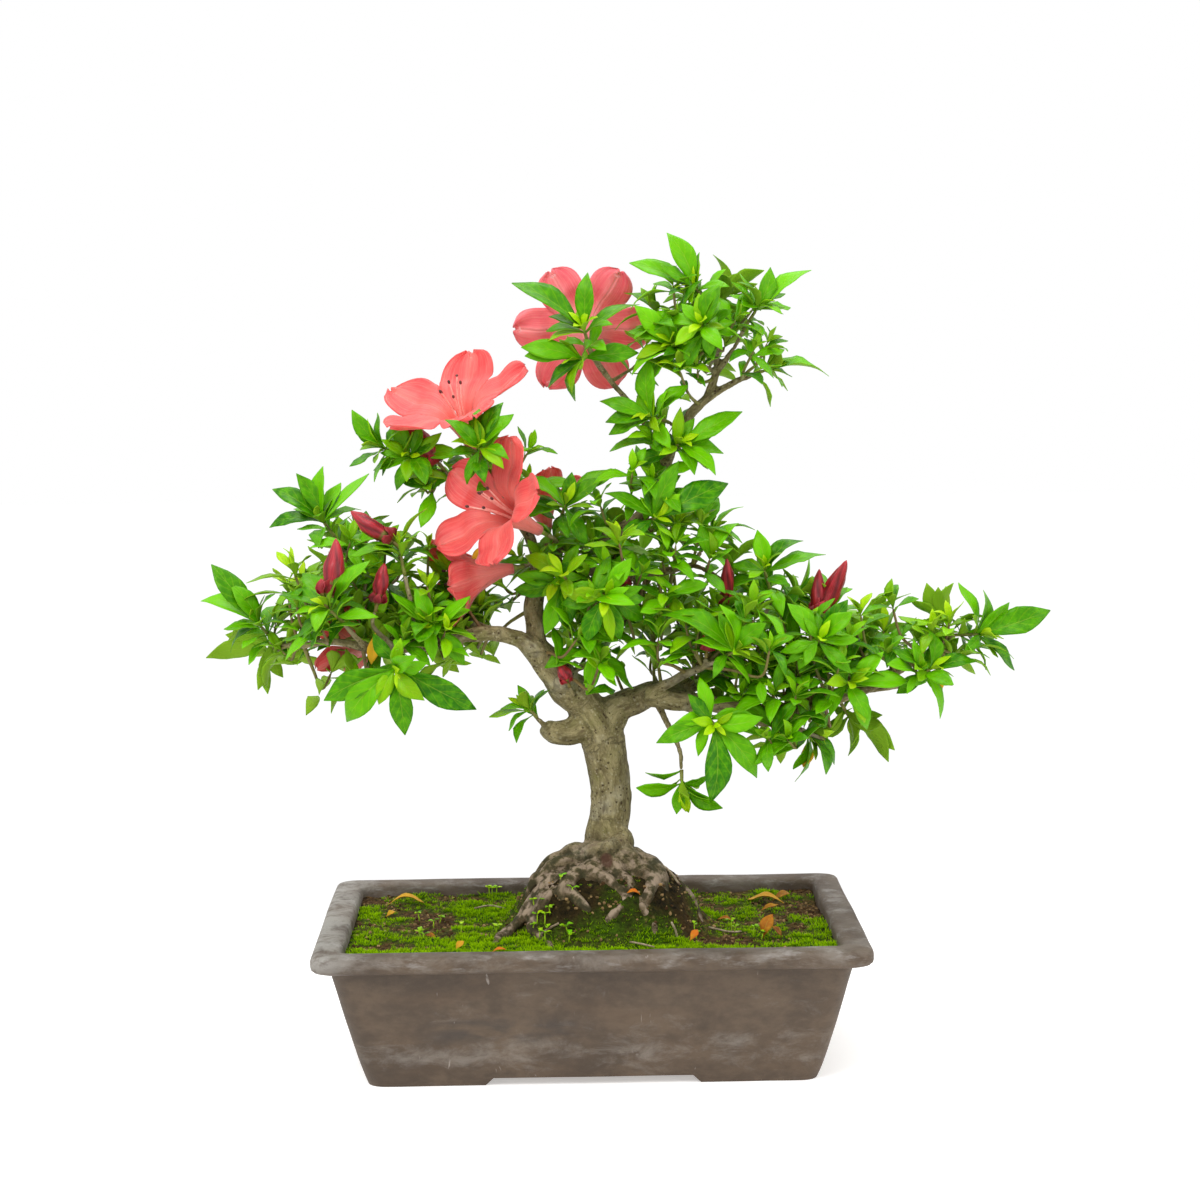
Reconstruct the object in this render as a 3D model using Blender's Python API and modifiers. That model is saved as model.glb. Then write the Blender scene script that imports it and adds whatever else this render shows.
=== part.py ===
"""A satsuki azalea bonsai in flower, standing in an unglazed rectangular pot.

+Z is up, -Y is the side that faces the viewer, and the pot stands on z = 0. The lists are in millimetres,
measured from the middle of the pot. Points are (x, y, z), and tubes add a radius to each point. At the end
all pieces move by OUTLINE_MIDDLE, so that the origin lies below the middle of the whole outline.
"""

import math
import random

import bmesh
import bpy
from mathutils import Matrix, Vector
from mathutils.bvhtree import BVHTree

MM = 0.001
GAP = 0.3
NAME = "satsuki_azalea_bonsai"
OUTLINE_MIDDLE = (20.0, 0.0, 0.0)

# Pot
RIM_WIDTH, RIM_DEPTH = 272.5, 181.0
POT_HEIGHT = 70.5
RIM_HEIGHT = 8.8
RIM_OVERHANG = 8.5
# Ledges of the rim, outside to inside: distance in from its edge, distance below its top
RIM_LEDGES = (
    (1.6, 8.4), (0.0, 6.8), (0.0, 1.6), (1.6, 0.3), (3.2, 0.0), (12.3, 0.0), (14.0, 0.6), (14.7, 2.2),
     (15.1, 8.8),
)
HOLLOW_INSET = 15.1
FOOT_TAPER = 15.5
FLOOR_TOP = 11.0
FLOOR_EDGE_RISE = 3.0
FLOOR_EDGE_INSET = 5.0
CORNER_RADIUS = 9.0
CORNER_STEPS = 3
FOOT_RECESS = 4.0
RECESS_MARGIN = 2.0
# Lengths of the gaps between the feet, where they open at the bottom and at their top
FRONT_RECESS = (110.0, 98.0)
SIDE_RECESS = (63.0, 51.0)
DRAIN_RADIUS = 8.0
DRAIN_SIDES = 16
DRAIN_X = 55.0

# Drain screens
SCREEN_SIDE = 24.0
SCREEN_THICK = 1.0
SCREEN_OPENINGS = 2
SCREEN_OPENING = 8.4
SCREEN_PITCH = 10.6

# Soil
SOIL_LEVEL = 63.5
SOIL_CLEARANCE = 0.9
SOIL_TOP = POT_HEIGHT + 40.0
MOUND_CENTRE = (8.0, 0.0)
MOUND_SPREAD = (45.0, 37.0)
MOUND_HEIGHT = 24.0
MOUND_PEAK = 6.0
# How sharply the mound and its peak fall away, and the power that keeps the mound's top level
MOUND_FALL, MOUND_LEVEL, PEAK_FALL = 0.7, 3, 3.0
# Rolls of the surface: height, then how fast they run across and along the pot
BROAD_ROLL = (0.7, 0.06, 0.08)
FINE_ROLL = (0.4, 0.15, 0.11)
SOIL_CELLS = (12, 8)
# Width of the grid's cells at the mound, and how they grow away from it
CELL_WIDTH, CELL_GROWTH = 0.45, 2.2
HOLE_GROW = 0.4

# Wood: the path of each limb, thick end first. Limbs thicker than the radii below get more sides.
THICK_LIMB, MIDDLE_LIMB = 5.0, 3.5
TRUNK_ROUNDING, THICK_ROUNDING, MIDDLE_ROUNDING = 3, 2, 1
TRUNK = (
    (11, 8, 50, 15), (10, 8, 73, 15.5), (9, 8, 91, 12.6), (8, 8, 105, 11.1), (11, 7, 120, 10.6),
    (12, 6, 133, 10.4), (10, 5, 146, 10.8), (8, 3, 159, 11.6), (5, 2, 169, 10.5),
)
STUB = ((-1, 1, 167, 9), (-11, -3, 165, 7), (-18, -5, 165, 5.5), (-22, -6, 169, 4))
BRANCHES = {
    "left_limb": ((8, 3, 160, 11), (-1, 0, 178, 10), (-11, -4, 189, 9), (-18, -8, 199, 8),
                  (-24, -10, 206, 7.4), (-29, -12, 212, 6.4)),
    "left_low": ((-27, -12, 209, 5.6), (-35, -16, 215, 4.6), (-46, -22, 218, 4), (-58, -28, 218, 3.7),
                 (-70, -32, 216, 3.3), (-83, -36, 214, 2.9), (-94, -38, 213, 2.6), (-108, -40, 214, 2.3),
                 (-126, -36, 217, 2), (-143, -28, 214, 1.7)),
    "left_rear": ((-46, -22, 218, 3.4), (-60, -8, 222, 3), (-78, 8, 226, 2.6), (-96, 16, 232, 2.2),
                  (-112, 16, 242, 1.8)),
    "riser": ((-27, -12, 207, 6), (-26, -4, 223, 5.2), (-26, 2, 236, 4.8), (-23, 6, 249, 4.5),
              (-17, 8, 259, 4.2)),
    "peak": ((-23, 6, 247, 3.4), (-29, 16, 264, 3), (-39, 22, 278, 2.7), (-50, 16, 289, 2.3),
             (-62, 4, 295, 2), (-73, 0, 298, 1.7)),
    "crown": ((-21, 8, 254, 4.4), (-10, 10, 260, 4.3), (1, 8, 262, 4.3), (10, 4, 264, 4.3),
              (20, 2, 267, 4.2), (28, 4, 273, 4.1), (33, 6, 281, 4), (36, 6, 289, 3.9),
              (41, 4, 302, 3.6), (44, 2, 310, 3.4), (50, 0, 319, 3.1), (55, 0, 327, 2.8), (64, 2, 335, 2.4)),
    "crown_up": ((62, 2, 333, 2.3), (67, 4, 346, 2), (67, 4, 356, 1.8), (65, 4, 367, 1.6)),
    "crown_east": ((60, 2, 331, 2.1), (71, 0, 339, 1.9), (79, -2, 343, 1.7)),
    "crown_west": ((37, 5, 304, 2.4), (31, 4, 320, 2), (26, 2, 328, 1.8), (18, 0, 337, 1.6), (11, -4,
                   346, 1.5)),
    "middle": ((-21, 7, 254, 3.4), (-12, 4, 249, 3.1), (-3, 0, 248, 2.9), (10, -4, 246, 2.7),
               (25, -6, 245, 2.5), (41, -4, 247, 2.2), (54, 0, 249, 1.9)),
    "middle_rear": ((-10, 4, 249, 2.3), (4, 18, 246, 2), (18, 32, 244, 1.7)),
    "right_limb": ((7, 3, 160, 10), (14, 4, 174, 8.6), (23, 6, 179, 7.2), (33, 8, 182, 6.4), (46, 9,
                   183, 5.6)),
    "right_low": ((33, 8, 181, 5.4), (47, 4, 180, 4.9), (66, 2, 177, 4.3), (81, 0, 173, 3.8),
                  (96, -2, 174, 3.4), (111, -2, 178, 3), (126, 0, 183, 2.6), (141, 2, 184, 2.3),
                  (160, 0, 186, 1.7)),
    "right_high": ((40, 9, 182, 4.6), (58, 16, 187, 4), (77, 22, 191, 3.5), (95, 24, 195, 3.1),
                   (113, 22, 193, 2.9), (128, 18, 187, 2.7), (140, 14, 187, 2.4), (150, 10, 190, 2.2),
                   (160, 6, 195, 2), (169, 4, 200, 1.8), (179, 2, 205, 1.6)),
    "right_rear": ((53, 12, 184, 3), (65, 28, 193, 2.6), (76, 38, 206, 2.2), (84, 42, 218, 1.8)),
    "right_front": ((24, 6, 180, 3.4), (34, -6, 187, 2.8), (46, -16, 194, 2.3), (58, -22, 200, 1.9)),
    "right_drop": ((66, 2, 178, 2.4), (80, -4, 170, 2.1), (98, -6, 168, 1.8)),
    "hanging": ((44, 6, 181, 2.6), (52, -8, 177, 2.1), (57, -20, 177, 1.8)),
    "hanging_low": ((34, 8, 181, 2.2), (40, -2, 170, 1.8), (45, -8, 160, 1.4), (47, -12, 153, 1.2)),
}
# Roots: along the soil, with the height of their middle above its surface
ROOTS = (
    ((4, 6, -2, 6), (-9, 4, 3, 5), (-18, 0, 5, 4), (-26, -4, 6, 3.6), (-30, -9, 2, 3.4), (-28, -14, -7, 3)),
    ((0, 2, 0, 6), (-12, -8, 2, 4.6), (-24, -14, 2, 3.8), (-34, -20, 2, 3), (-42, -26, 2.5, 2.6),
     (-45, -32, 2, 2.4), (-48, -42, 0.5, 2.1), (-50, -49, -7, 1.8)),
    ((2, 0, 0, 6), (-10, -12, 1.5, 4.2), (-22, -22, 1.5, 3.2), (-29, -29, 1.5, 2.8), (-25, -38, 1, 2.5),
     (-20, -46, 0, 2.3), (-17, -52, -7, 2)),
    ((5, 2, 0, 6), (-4, -12, 2, 4.8), (3, -18, 1.5, 4.2), (11, -22, 1.5, 4), (18, -26, 1, 3.6),
     (16, -33, 1, 3), (8, -39, 1, 2.6), (4, -45, -6, 2.2)),
    ((12, 4, 0, 7), (22, -4, 1, 5.6), (30, -10, 1, 5), (35, -16, 0, 4.4), (38, -24, -7, 3.4)),
    ((14, 6, 2, 6), (28, 4, 3, 4), (40, 2, 2, 3), (49, -2, 2.5, 2.2), (54, -8, 2, 1.9), (58, -18, -7, 1.6)),
    ((12, 12, 0, 7), (22, 24, 1, 4.6), (32, 34, 1, 3.4), (40, 44, -7, 2.6)),
    ((6, 14, 0, 7), (-4, 28, 1, 4.6), (-16, 38, 1, 3.4), (-26, 48, -7, 2.6)),
    ((14, 0, 0, 6), (18, -16, 0.5, 4), (24, -28, 0.5, 3.4), (31, -37, 0, 2.8), (36, -44, -7, 2.2)),
)

# Leafy shoots. Each has the branch and station it grows from, and one or two whorls. A whorl is its
# middle, then where the leaf tips stand from there as the viewer sees them (right, up), then how many
# more leaves stand round the back.
SHOOTS = {
    "shoot_crown_top": ("crown_up", 3, (
        ((56, 0, 389), ((-14, 28), (-33, 15), (-19, 13), (2, 18)), 1),
        ((72, 18, 384), ((-3, 22), (21, 14), (10, 13)), 1))),
    "shoot_crown_right": ("crown_up", 1, (((87, -6, 378), ((27, 21), (8, 22), (16, 9), (-13, 8)), 1),)),
    "shoot_crown_left": ("crown_up", 1, (((45, -14, 360), ((-20, 21), (-25, 8), (-6, 20), (-18, -5),
                         (6, -11)), 1),)),
    "shoot_crown_front": ("crown_up", 2, (((58, -26, 370), ((-10, 11), (9, 12), (16, -4), (4, -15)), 1),)),
    "shoot_crown_far": ("crown_east", 2, (((92, 0, 347), ((-8, 19), (4, 22), (18, 7), (33, -2), (12,
                        -3)), 0),)),
    "shoot_neck_left": ("crown", 10, (((33, -16, 325), ((-26, 9), (-24, -1), (-23, -8), (-2, 29), (17,
                        16)), 0),)),
    "shoot_neck_right": ("crown", 8, (((47, -12, 311), ((32, 17), (23, -4), (9, 14)), 1),)),
    "shoot_bloom_top": ("crown_west", 4, (
        ((0, -22, 369), ((-35, 24), (1, 29), (27, 14), (-17, 8)), 0),
        ((-2, -16, 354), ((-30, 6), (-29, 1), (-19, -14), (28, 3)), 0))),
    "shoot_peak": ("peak", 2, (((-52, -40, 312), ((-2, 17), (11, 23), (17, 17), (-15, 15), (-4, -12)), 0),)),
    "shoot_peak_left": ("peak", 5, (
        ((-101, -12, 311), ((-16, 19), (-15, 13), (-10, 5), (-2, 18), (9, 16)), 1),
        ((-87, -16, 307), ((6, 17), (13, 9), (-19, -6)), 1))),
    "shoot_left_top": ("left_rear", 4, (((-133, 4, 274), ((-1, 28), (-14, 25), (-26, 19), (24, 24),
                       (-28, 0)), 1),)),
    "shoot_left_middle": ("left_low", 5, (((-92, -34, 262), ((-6, 27), (14, 23), (-25, -1), (19, -6)), 1),)),
    "shoot_left_far": ("left_low", 9, (
        ((-165, -8, 223), ((-24, 31), (-30, 15), (-19, 0), (-16, -13), (-14, 22)), 0),
        ((-163, 14, 206), ((-32, -3), (7, -14), (-22, 8)), 1))),
    "shoot_left_front": ("left_low", 7, (((-126, -56, 236), ((-30, 6), (-10, -19), (19, 25), (-18,
                         19)), 1),)),
    "shoot_left_bottom": ("left_low", 6, (((-94, -54, 205), ((-25, -27), (39, -22), (4, -34), (-35,
                          -16)), 1),)),
    "shoot_left_inner": ("left_low", 4, (((-76, -44, 226), ((15, -20), (-9, 19), (17, 9)), 1),)),
    "shoot_left_back": ("left_rear", 4, (((-122, 42, 250), ((-23, 11), (-7, 24), (22, 20), (-24, -13)), 1),)),
    "shoot_left_rear": ("left_rear", 2, (((-100, 38, 217), ((-23, 12), (-19, -18), (24, 10), (28,
                        -13)), 1),)),
    "shoot_centre_peak": ("riser", 4, (((-10, -6, 281), ((-20, 16), (27, 18), (19, 16), (-22, -5), (4,
                          18)), 0),)),
    "shoot_centre_right": ("crown", 4, (((35, -20, 275), ((-24, 14), (-6, 20), (13, 29), (37, 17)), 1),)),
    "shoot_right_high": ("middle", 6, (((64, 8, 264), ((16, 16), (23, 5), (2, 19), (-16, 4)), 1),)),
    "shoot_centre_low": ("middle", 1, (((-13, -20, 243), ((-8, -26), (2, -19), (-22, 3)), 1),)),
    "shoot_centre_front": ("middle", 3, (((9, -40, 237), ((13, 20), (20, -1), (7, -22), (-10, -22),
                           (-15, 7)), 0),)),
    "shoot_heart": ("left_limb", 2, (((4, -16, 211), ((-3, -24), (19, -22), (-24, -8)), 1),)),
    "shoot_centre_rear": ("middle_rear", 2, (((29, 48, 250), ((-21, 11), (5, 21), (26, 0), (-16, -19)), 1),)),
    "shoot_far_tip": ("right_high", 10, (
        ((200, 0, 212), ((-11, 26), (6, 22), (18, 16), (36, 13), (20, -19)), 0),
        ((183, 14, 216), ((-9, 22), (4, 22), (-18, 13)), 0))),
    "shoot_far_low": ("right_low", 8, (((173, -12, 196), ((24, 5), (-12, 12), (-15, -11)), 1),)),
    "shoot_right_back": ("right_high", 6, (((147, 30, 203), ((22, 28), (28, 12), (10, 30), (-12, 18)), 1),)),
    "shoot_right_front": ("right_high", 4, (((115, -30, 214), ((-16, 19), (15, 20), (20, 0), (-10,
                          -15)), 1),)),
    "shoot_right_middle": ("right_low", 6, (((131, -22, 191), ((31, 1), (18, 16), (-13, 13)), 1),)),
    "shoot_inner_front": ("right_front", 3, (((73, -38, 210), ((-34, 21), (-7, 20), (17, 15), (-20,
                          6)), 1),)),
    "shoot_right_rear": ("right_rear", 3, (((92, 52, 231), ((-21, 16), (0, 24), (21, 10), (-11, -20)), 1),)),
    "shoot_hanging": ("hanging", 2, (((62, -42, 174), ((-2, -39), (22, -27), (-28, -9), (23, 1), (-12,
                      15)), 0),)),
    "shoot_hanging_low": ("hanging_low", 3, (((47, -16, 139), ((-23, -3), (20, -14), (-3, -17), (9,
                          3)), 0),)),
    "shoot_low_right": ("right_drop", 2, (((113, -10, 163), ((-22, -7), (-8, -18), (16, -16), (10,
                        12)), 1),)),
    "shoot_low_far": ("right_low", 6, (((135, 14, 168), ((24, -18), (21, -24), (18, -1), (1, -21)), 0),)),
    "shoot_right_peak": ("right_high", 2, (
        ((90, -4, 247), ((19, 16), (31, 9), (-4, 22), (-17, 3)), 0),
        ((108, 10, 232), ((8, 21), (20, 5)), 1))),
    "shoot_stub": ("stub", 3, (((-30, -8, 178), ((-11, 1), (-6, 12), (8, 11), (-8, -8)), 0),)),
}
SHOOT_RADIUS = 1.25
SHOOT_TIP_RADIUS = 2.1
# A green shoot is this long, or this share of the way from the branch, and its foot runs straight so far
SHOOT_LENGTH = 13.0
SHOOT_SHARE = 0.55
SHOOT_KNEE = 3.0
TWIG_RADIUS = 1.45
TWIG_LIFT = 0.12
TWIG_STRAIGHT = 0.35

# Leaves
LEAF_THICK = 0.7
LEAF_WIDTH = 0.38
LEAF_ARCH = 0.07
LEAF_ROOT = 1.1
LEAF_LONGEST = 45.0
LEAF_SHORTEST = 15.0
LEAF_OUTLINE = ((0.0, 0.0), (0.4, 0.9), (0.72, 0.82), (1.0, 0.0))
# Which way a leaf's face turns: along its whorl's stem, and somewhat up and to the front
WHORL_LIFT = 0.8
FACE_UP = (0.0, -0.25, 0.45)
# What stands in where that runs along the leaf, and how nearly it may
OTHER_UP = (0.3, -0.9, 0.2)
LEAST_CROSS = 0.2
# Short leaves are broader for their length
SHORT_LEAF = 26.0
SHORT_BROADER, LONG_NARROWER = 1.08, 0.96
# Where leaves leave the stem, below the whorl's middle: the first of each three, and the next ones' step
ROOT_DROP, ROOT_STEP, ROOT_CYCLE = 1.2, 0.8, 3
# A leaf at the back: how long, how far it leans out, the turn from one to the next, and how far it strays
BACK_LEAF_LENGTH = (20.0, 29.0)
SPREAD_DEGREES = (42.0, 68.0)
BACK_TURN, BACK_STRAY = 2.4, 0.5
# Tries for a free place: depth of the first and the step to the next, then shorter leaves
LEAF_TRIES = 24
FIRST_DEPTH, DEPTH_STEP = 0.15, 0.055
FULL_TRIES, SHORTER_FIRST, SHORTER_STEP = 10, 0.92, 0.02
TRY_TURN, TRY_SHORTER = 0.9, 0.012
LEAF_CLEARANCE = 0.45
# Leaves of one shoot may meet near the stem, up to this share of their length
MEETING_SHARE = 0.3

# Blooms: branch and station, the foot of the stalk, the middle of the mouth, turn and flare in degrees,
# number of petals, their length, and whether stamens show
BLOOMS = {
    "bloom_top": ("crown_west", 4, (3, -3, 360), (1, 17, 367), 0, 80, 6, 29, False),
    "bloom_peak": ("peak", 3, (-55, 4, 305), (-62, -5, 325), 36, 62, 5, 36, True),
    "bloom_centre": ("riser", 4, (-20, -14, 267), (-40, -34, 280), 10, 62, 5, 31, True),
    "bloom_low": ("riser", 2, (-32, -5, 250), (-52, -10, 247), 0, 35, 5, 28, False),
    "bloom_behind": ("peak", 0, (-18, 21, 262), (-22, 28, 277), 12, 50, 5, 20, False),
    "bloom_left": ("left_low", 7, (-106, -22, 210), (-116, -10, 213), 30, 50, 5, 17, False),
}
STALK = 5.0
TUBE_RADIUS = 2.6
MOUTH_RADIUS = 7.5
TUBE_FLARE = 1.6
PETAL_HALF_WIDTH = 0.37
PETAL_WIDEST = 0.62
PETAL_THICK = 0.8
PETAL_CUP = 0.16
PETAL_BEND_START = 0.5
# Rows of a petal between the mouth (1) and its tip (2), and its columns
PETAL_ROWS = (1.33, 1.62, 1.87)
PETAL_COLUMNS = (-1.0, 0.0, 1.0)
# The stalk's radii, where it thickens, and how far it reaches into the tube
STALK_RADIUS, STALK_SWELL, STALK_SWELL_AT, STALK_INSIDE, STALK_END = 1.0, 1.5, 3.0, 1.2, 0.75
STAMENS = 5
STAMEN_RADIUS = 0.5
# Stamens: how far out they start, how far they rise past the tube, their ends, and how far they lean out
STAMEN_FOOT, STAMEN_RISE, STAMEN_END, STAMEN_END_STEP = 0.9, 6.0, 9.0, 2.0
STAMEN_LEAN, STAMEN_END_LEAN = 1.8, 2.2

# Buds: what carries them (a branch and station, or a shoot and whorl), foot on the wood, tips and thickness
BUDS = {
    "bud_left_high": ("shoot_left_middle", 0, None, (((-116, -30, 281), 4.2),)),
    "bud_left_far": ("shoot_left_front", 0, None, (((-122, -46, 269), 4.8),)),
    "bud_left_low": ("left_low", 6, (-104, -40, 232), (((-99, -40, 256), 3.6),)),
    "bud_peak": ("peak", 4, (-70, -8, 299), (((-89, -10, 322), 5.6),)),
    "bud_centre": ("middle", 4, (22, -15, 238), (((15, -22, 249), 3.2),)),
    "bud_middle": ("right_high", 2, (71, 2, 224), (((71, -6, 253), 3.4),)),
    "buds_right": ("right_high", 4, (116, 4, 216), (((132, -2, 251), 4.4), ((119, 6, 246), 3.6))),
    "bud_inner": ("right_front", 3, (59, -25, 205), (((63, -25, 224), 3.2),)),
    "bud_heart": ("left_limb", 2, (-9, -16, 190), (((-14, -20, 203), 3.4),)),
}
# A bud's stalk, and its outline from the stalk to the tip: share of the length, share of the thickness
BUD_KNEE = 1.5
BUD_STALK_RADIUS, BUD_KNEE_RADIUS = 0.9, 0.95
BUD_OUTLINE = ((0.24, 0.32), (0.42, 0.82), (0.62, 1.0), (0.82, 0.66), (0.99, 0.1))

# Fallen leaves on the soil: middle, heading in degrees, length, width
FALLEN = {
    "fallen_leaf_left": ((-97, 52), 10, 19.0, 7.0),
    "fallen_leaf_right": ((94, 44), 160, 20.0, 8.0),
}

# Finishes: colour, roughness, and the angle in degrees from which an edge looks sharp
FINISHES = {
    "pot": ((0.20, 0.15, 0.12), 0.85, 35),
    "soil": ((0.10, 0.20, 0.02), 0.95, 60),
    "screen": ((0.05, 0.05, 0.05), 0.6, 30),
    "wood": ((0.30, 0.25, 0.17), 0.85, 60),
    "shoot": ((0.14, 0.36, 0.02), 0.45, 40),
    "bloom": ((0.85, 0.12, 0.11), 0.5, 60),
    "bud": ((0.50, 0.02, 0.04), 0.4, 60),
    "fallen": ((0.55, 0.25, 0.05), 0.6, 40),
}


def clear_scene():
    for obj in list(bpy.data.objects):
        bpy.data.objects.remove(obj, do_unlink=True)


def new_collection(name, helper=False):
    collection = bpy.data.collections.new(name)
    bpy.context.scene.collection.children.link(collection)
    collection.hide_render = helper
    return collection


def material(kind):
    name = "satsuki_" + kind
    if name in bpy.data.materials:
        return bpy.data.materials[name]
    colour, roughness, _ = FINISHES[kind]
    made = bpy.data.materials.new(name)
    made.use_nodes = True
    shader = made.node_tree.nodes["Principled BSDF"]
    shader.inputs["Base Color"].default_value = (*colour, 1.0)
    shader.inputs["Roughness"].default_value = roughness
    shader.inputs["Metallic"].default_value = 0.0
    made.diffuse_color = (*colour, 1.0)
    return made


def metres(point):
    return Vector(point[:3]) * MM


def link_mesh(name, mesh, collection):
    obj = bpy.data.objects.new(name, mesh)
    collection.objects.link(obj)
    return obj


def mesh_of(bm, name):
    bmesh.ops.recalc_face_normals(bm, faces=bm.faces)
    mesh = bpy.data.meshes.new(name)
    bm.to_mesh(mesh)
    bm.free()
    return mesh


def finish(obj, kind):
    obj.data.materials.clear()
    obj.data.materials.append(material(kind))
    obj.data.shade_smooth()
    obj.data.set_sharp_from_angle(angle=math.radians(FINISHES[kind][2]))


def as_helper(obj):
    obj.hide_render = True
    obj.display_type = "WIRE"
    return obj


def boolean(obj, other, operation, solver="EXACT"):
    """Applies one Boolean with an object or a collection, whose objects are then removed."""
    modifier = obj.modifiers.new(operation.lower(), "BOOLEAN")
    modifier.operation = operation
    modifier.solver = solver
    if isinstance(other, bpy.types.Collection):
        modifier.operand_type = "COLLECTION"
        modifier.collection = other
        used = list(other.objects)
    else:
        modifier.object = other
        used = [other]
    bpy.context.view_layer.update()
    graph = bpy.context.evaluated_depsgraph_get()
    joined = bpy.data.meshes.new_from_object(obj.evaluated_get(graph))
    obj.modifiers.clear()
    obj.data = joined
    for item in used:
        bpy.data.objects.remove(item, do_unlink=True)
    if isinstance(other, bpy.types.Collection):
        bpy.data.collections.remove(other)


def keep_largest_body(obj):
    """Drops loose scraps that a cut leaves between roots."""
    bm = bmesh.new()
    bm.from_mesh(obj.data)
    left = set(bm.verts)
    bodies = []
    while left:
        stack = [left.pop()]
        body = set(stack)
        while stack:
            for edge in stack.pop().link_edges:
                for vert in edge.verts:
                    if vert in left:
                        left.discard(vert)
                        body.add(vert)
                        stack.append(vert)
        bodies.append(body)
    keep = max(bodies, key=len)
    bmesh.ops.delete(bm, geom=[v for v in bm.verts if v not in keep], context="VERTS")
    bm.to_mesh(obj.data)
    bm.free()


def tube(name, path, resolution, collection, grow=0.0):
    """A tapering round bar along points of four numbers, as a closed mesh with 4 + 2 x resolution sides."""
    data = bpy.data.curves.new(name, "CURVE")
    data.dimensions = "3D"
    data.bevel_depth = 1.0
    data.bevel_resolution = resolution
    data.use_fill_caps = True
    spline = data.splines.new("POLY")
    spline.points.add(len(path) - 1)
    for target, point in zip(spline.points, path):
        target.co = (*metres(point), 1.0)
        target.radius = (point[3] + grow) * MM
    guide = bpy.data.objects.new(name, data)
    collection.objects.link(guide)
    bpy.context.view_layer.update()
    graph = bpy.context.evaluated_depsgraph_get()
    mesh = bpy.data.meshes.new_from_object(guide.evaluated_get(graph))
    bpy.data.objects.remove(guide, do_unlink=True)
    bm = bmesh.new()
    bm.from_mesh(mesh)
    bmesh.ops.remove_doubles(bm, verts=bm.verts, dist=1e-6)
    bmesh.ops.recalc_face_normals(bm, faces=bm.faces)
    bm.to_mesh(mesh)
    bm.free()
    return link_mesh(name, mesh, collection)


def join_as(name, first, others, parts, solver="EXACT"):
    """One body from a first object and a collection of more, in the parts' collection."""
    boolean(first, others, "UNION", solver)
    first.name = name
    for collection in list(first.users_collection):
        collection.objects.unlink(first)
    parts.objects.link(first)
    return first


def rounded_block(low, high, z_low, z_high):
    """A tapering block with upright edges rounded: (width, depth) below and above."""
    bm = bmesh.new()
    bmesh.ops.create_cube(bm, size=1.0)
    for vert in bm.verts:
        width, depth = high if vert.co.z > 0 else low
        z = z_high if vert.co.z > 0 else z_low
        vert.co = Vector((vert.co.x * width, vert.co.y * depth, z)) * MM
    upright = [e for e in bm.edges if abs(e.verts[0].co.z - e.verts[1].co.z) > 0.5 * (z_high - z_low) * MM]
    bmesh.ops.bevel(bm, geom=upright, offset=CORNER_RADIUS * MM, segments=CORNER_STEPS, profile=0.5,
                    affect="EDGES")
    return bm


def inner_size(z):
    """Width and depth of the pot's hollow at a height, from the tapered wall."""
    neck = POT_HEIGHT - RIM_HEIGHT
    share = (neck - z) / neck
    inset = HOLLOW_INSET + FOOT_TAPER * share
    return RIM_WIDTH - 2 * inset, RIM_DEPTH - 2 * inset


def extrude_to(bm, face, width, depth, z):
    """Extrudes a level face and sets the size and height of its copy."""
    grown = bmesh.ops.extrude_face_region(bm, geom=[face])
    new = next(item for item in grown["geom"] if isinstance(item, bmesh.types.BMFace))
    bmesh.ops.delete(bm, geom=[face], context="FACES_ONLY")
    half_width = max(v.co.x for v in new.verts)
    half_depth = max(v.co.y for v in new.verts)
    for vert in new.verts:
        vert.co.x *= width * MM / 2 / half_width
        vert.co.y *= depth * MM / 2 / half_depth
        vert.co.z = z * MM
    return new


def box_cutter(name, size_low, size_high, z_low, z_high, collection):
    """A cutter with four sloping sides."""
    bm = bmesh.new()
    bmesh.ops.create_cube(bm, size=1.0)
    for vert in bm.verts:
        width, depth = size_high if vert.co.z > 0 else size_low
        z = z_high if vert.co.z > 0 else z_low
        vert.co = Vector((vert.co.x * width, vert.co.y * depth, z)) * MM
    return as_helper(link_mesh(name, mesh_of(bm, name), collection))


def cylinder_cutter(name, radius, x, z_low, z_high, collection):
    bm = bmesh.new()
    bmesh.ops.create_cone(bm, cap_ends=True, segments=DRAIN_SIDES, radius1=radius * MM, radius2=radius * MM,
                          depth=(z_high - z_low) * MM)
    bmesh.ops.translate(bm, verts=bm.verts, vec=Vector((x, 0, (z_low + z_high) / 2)) * MM)
    return as_helper(link_mesh(name, mesh_of(bm, name), collection))


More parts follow.
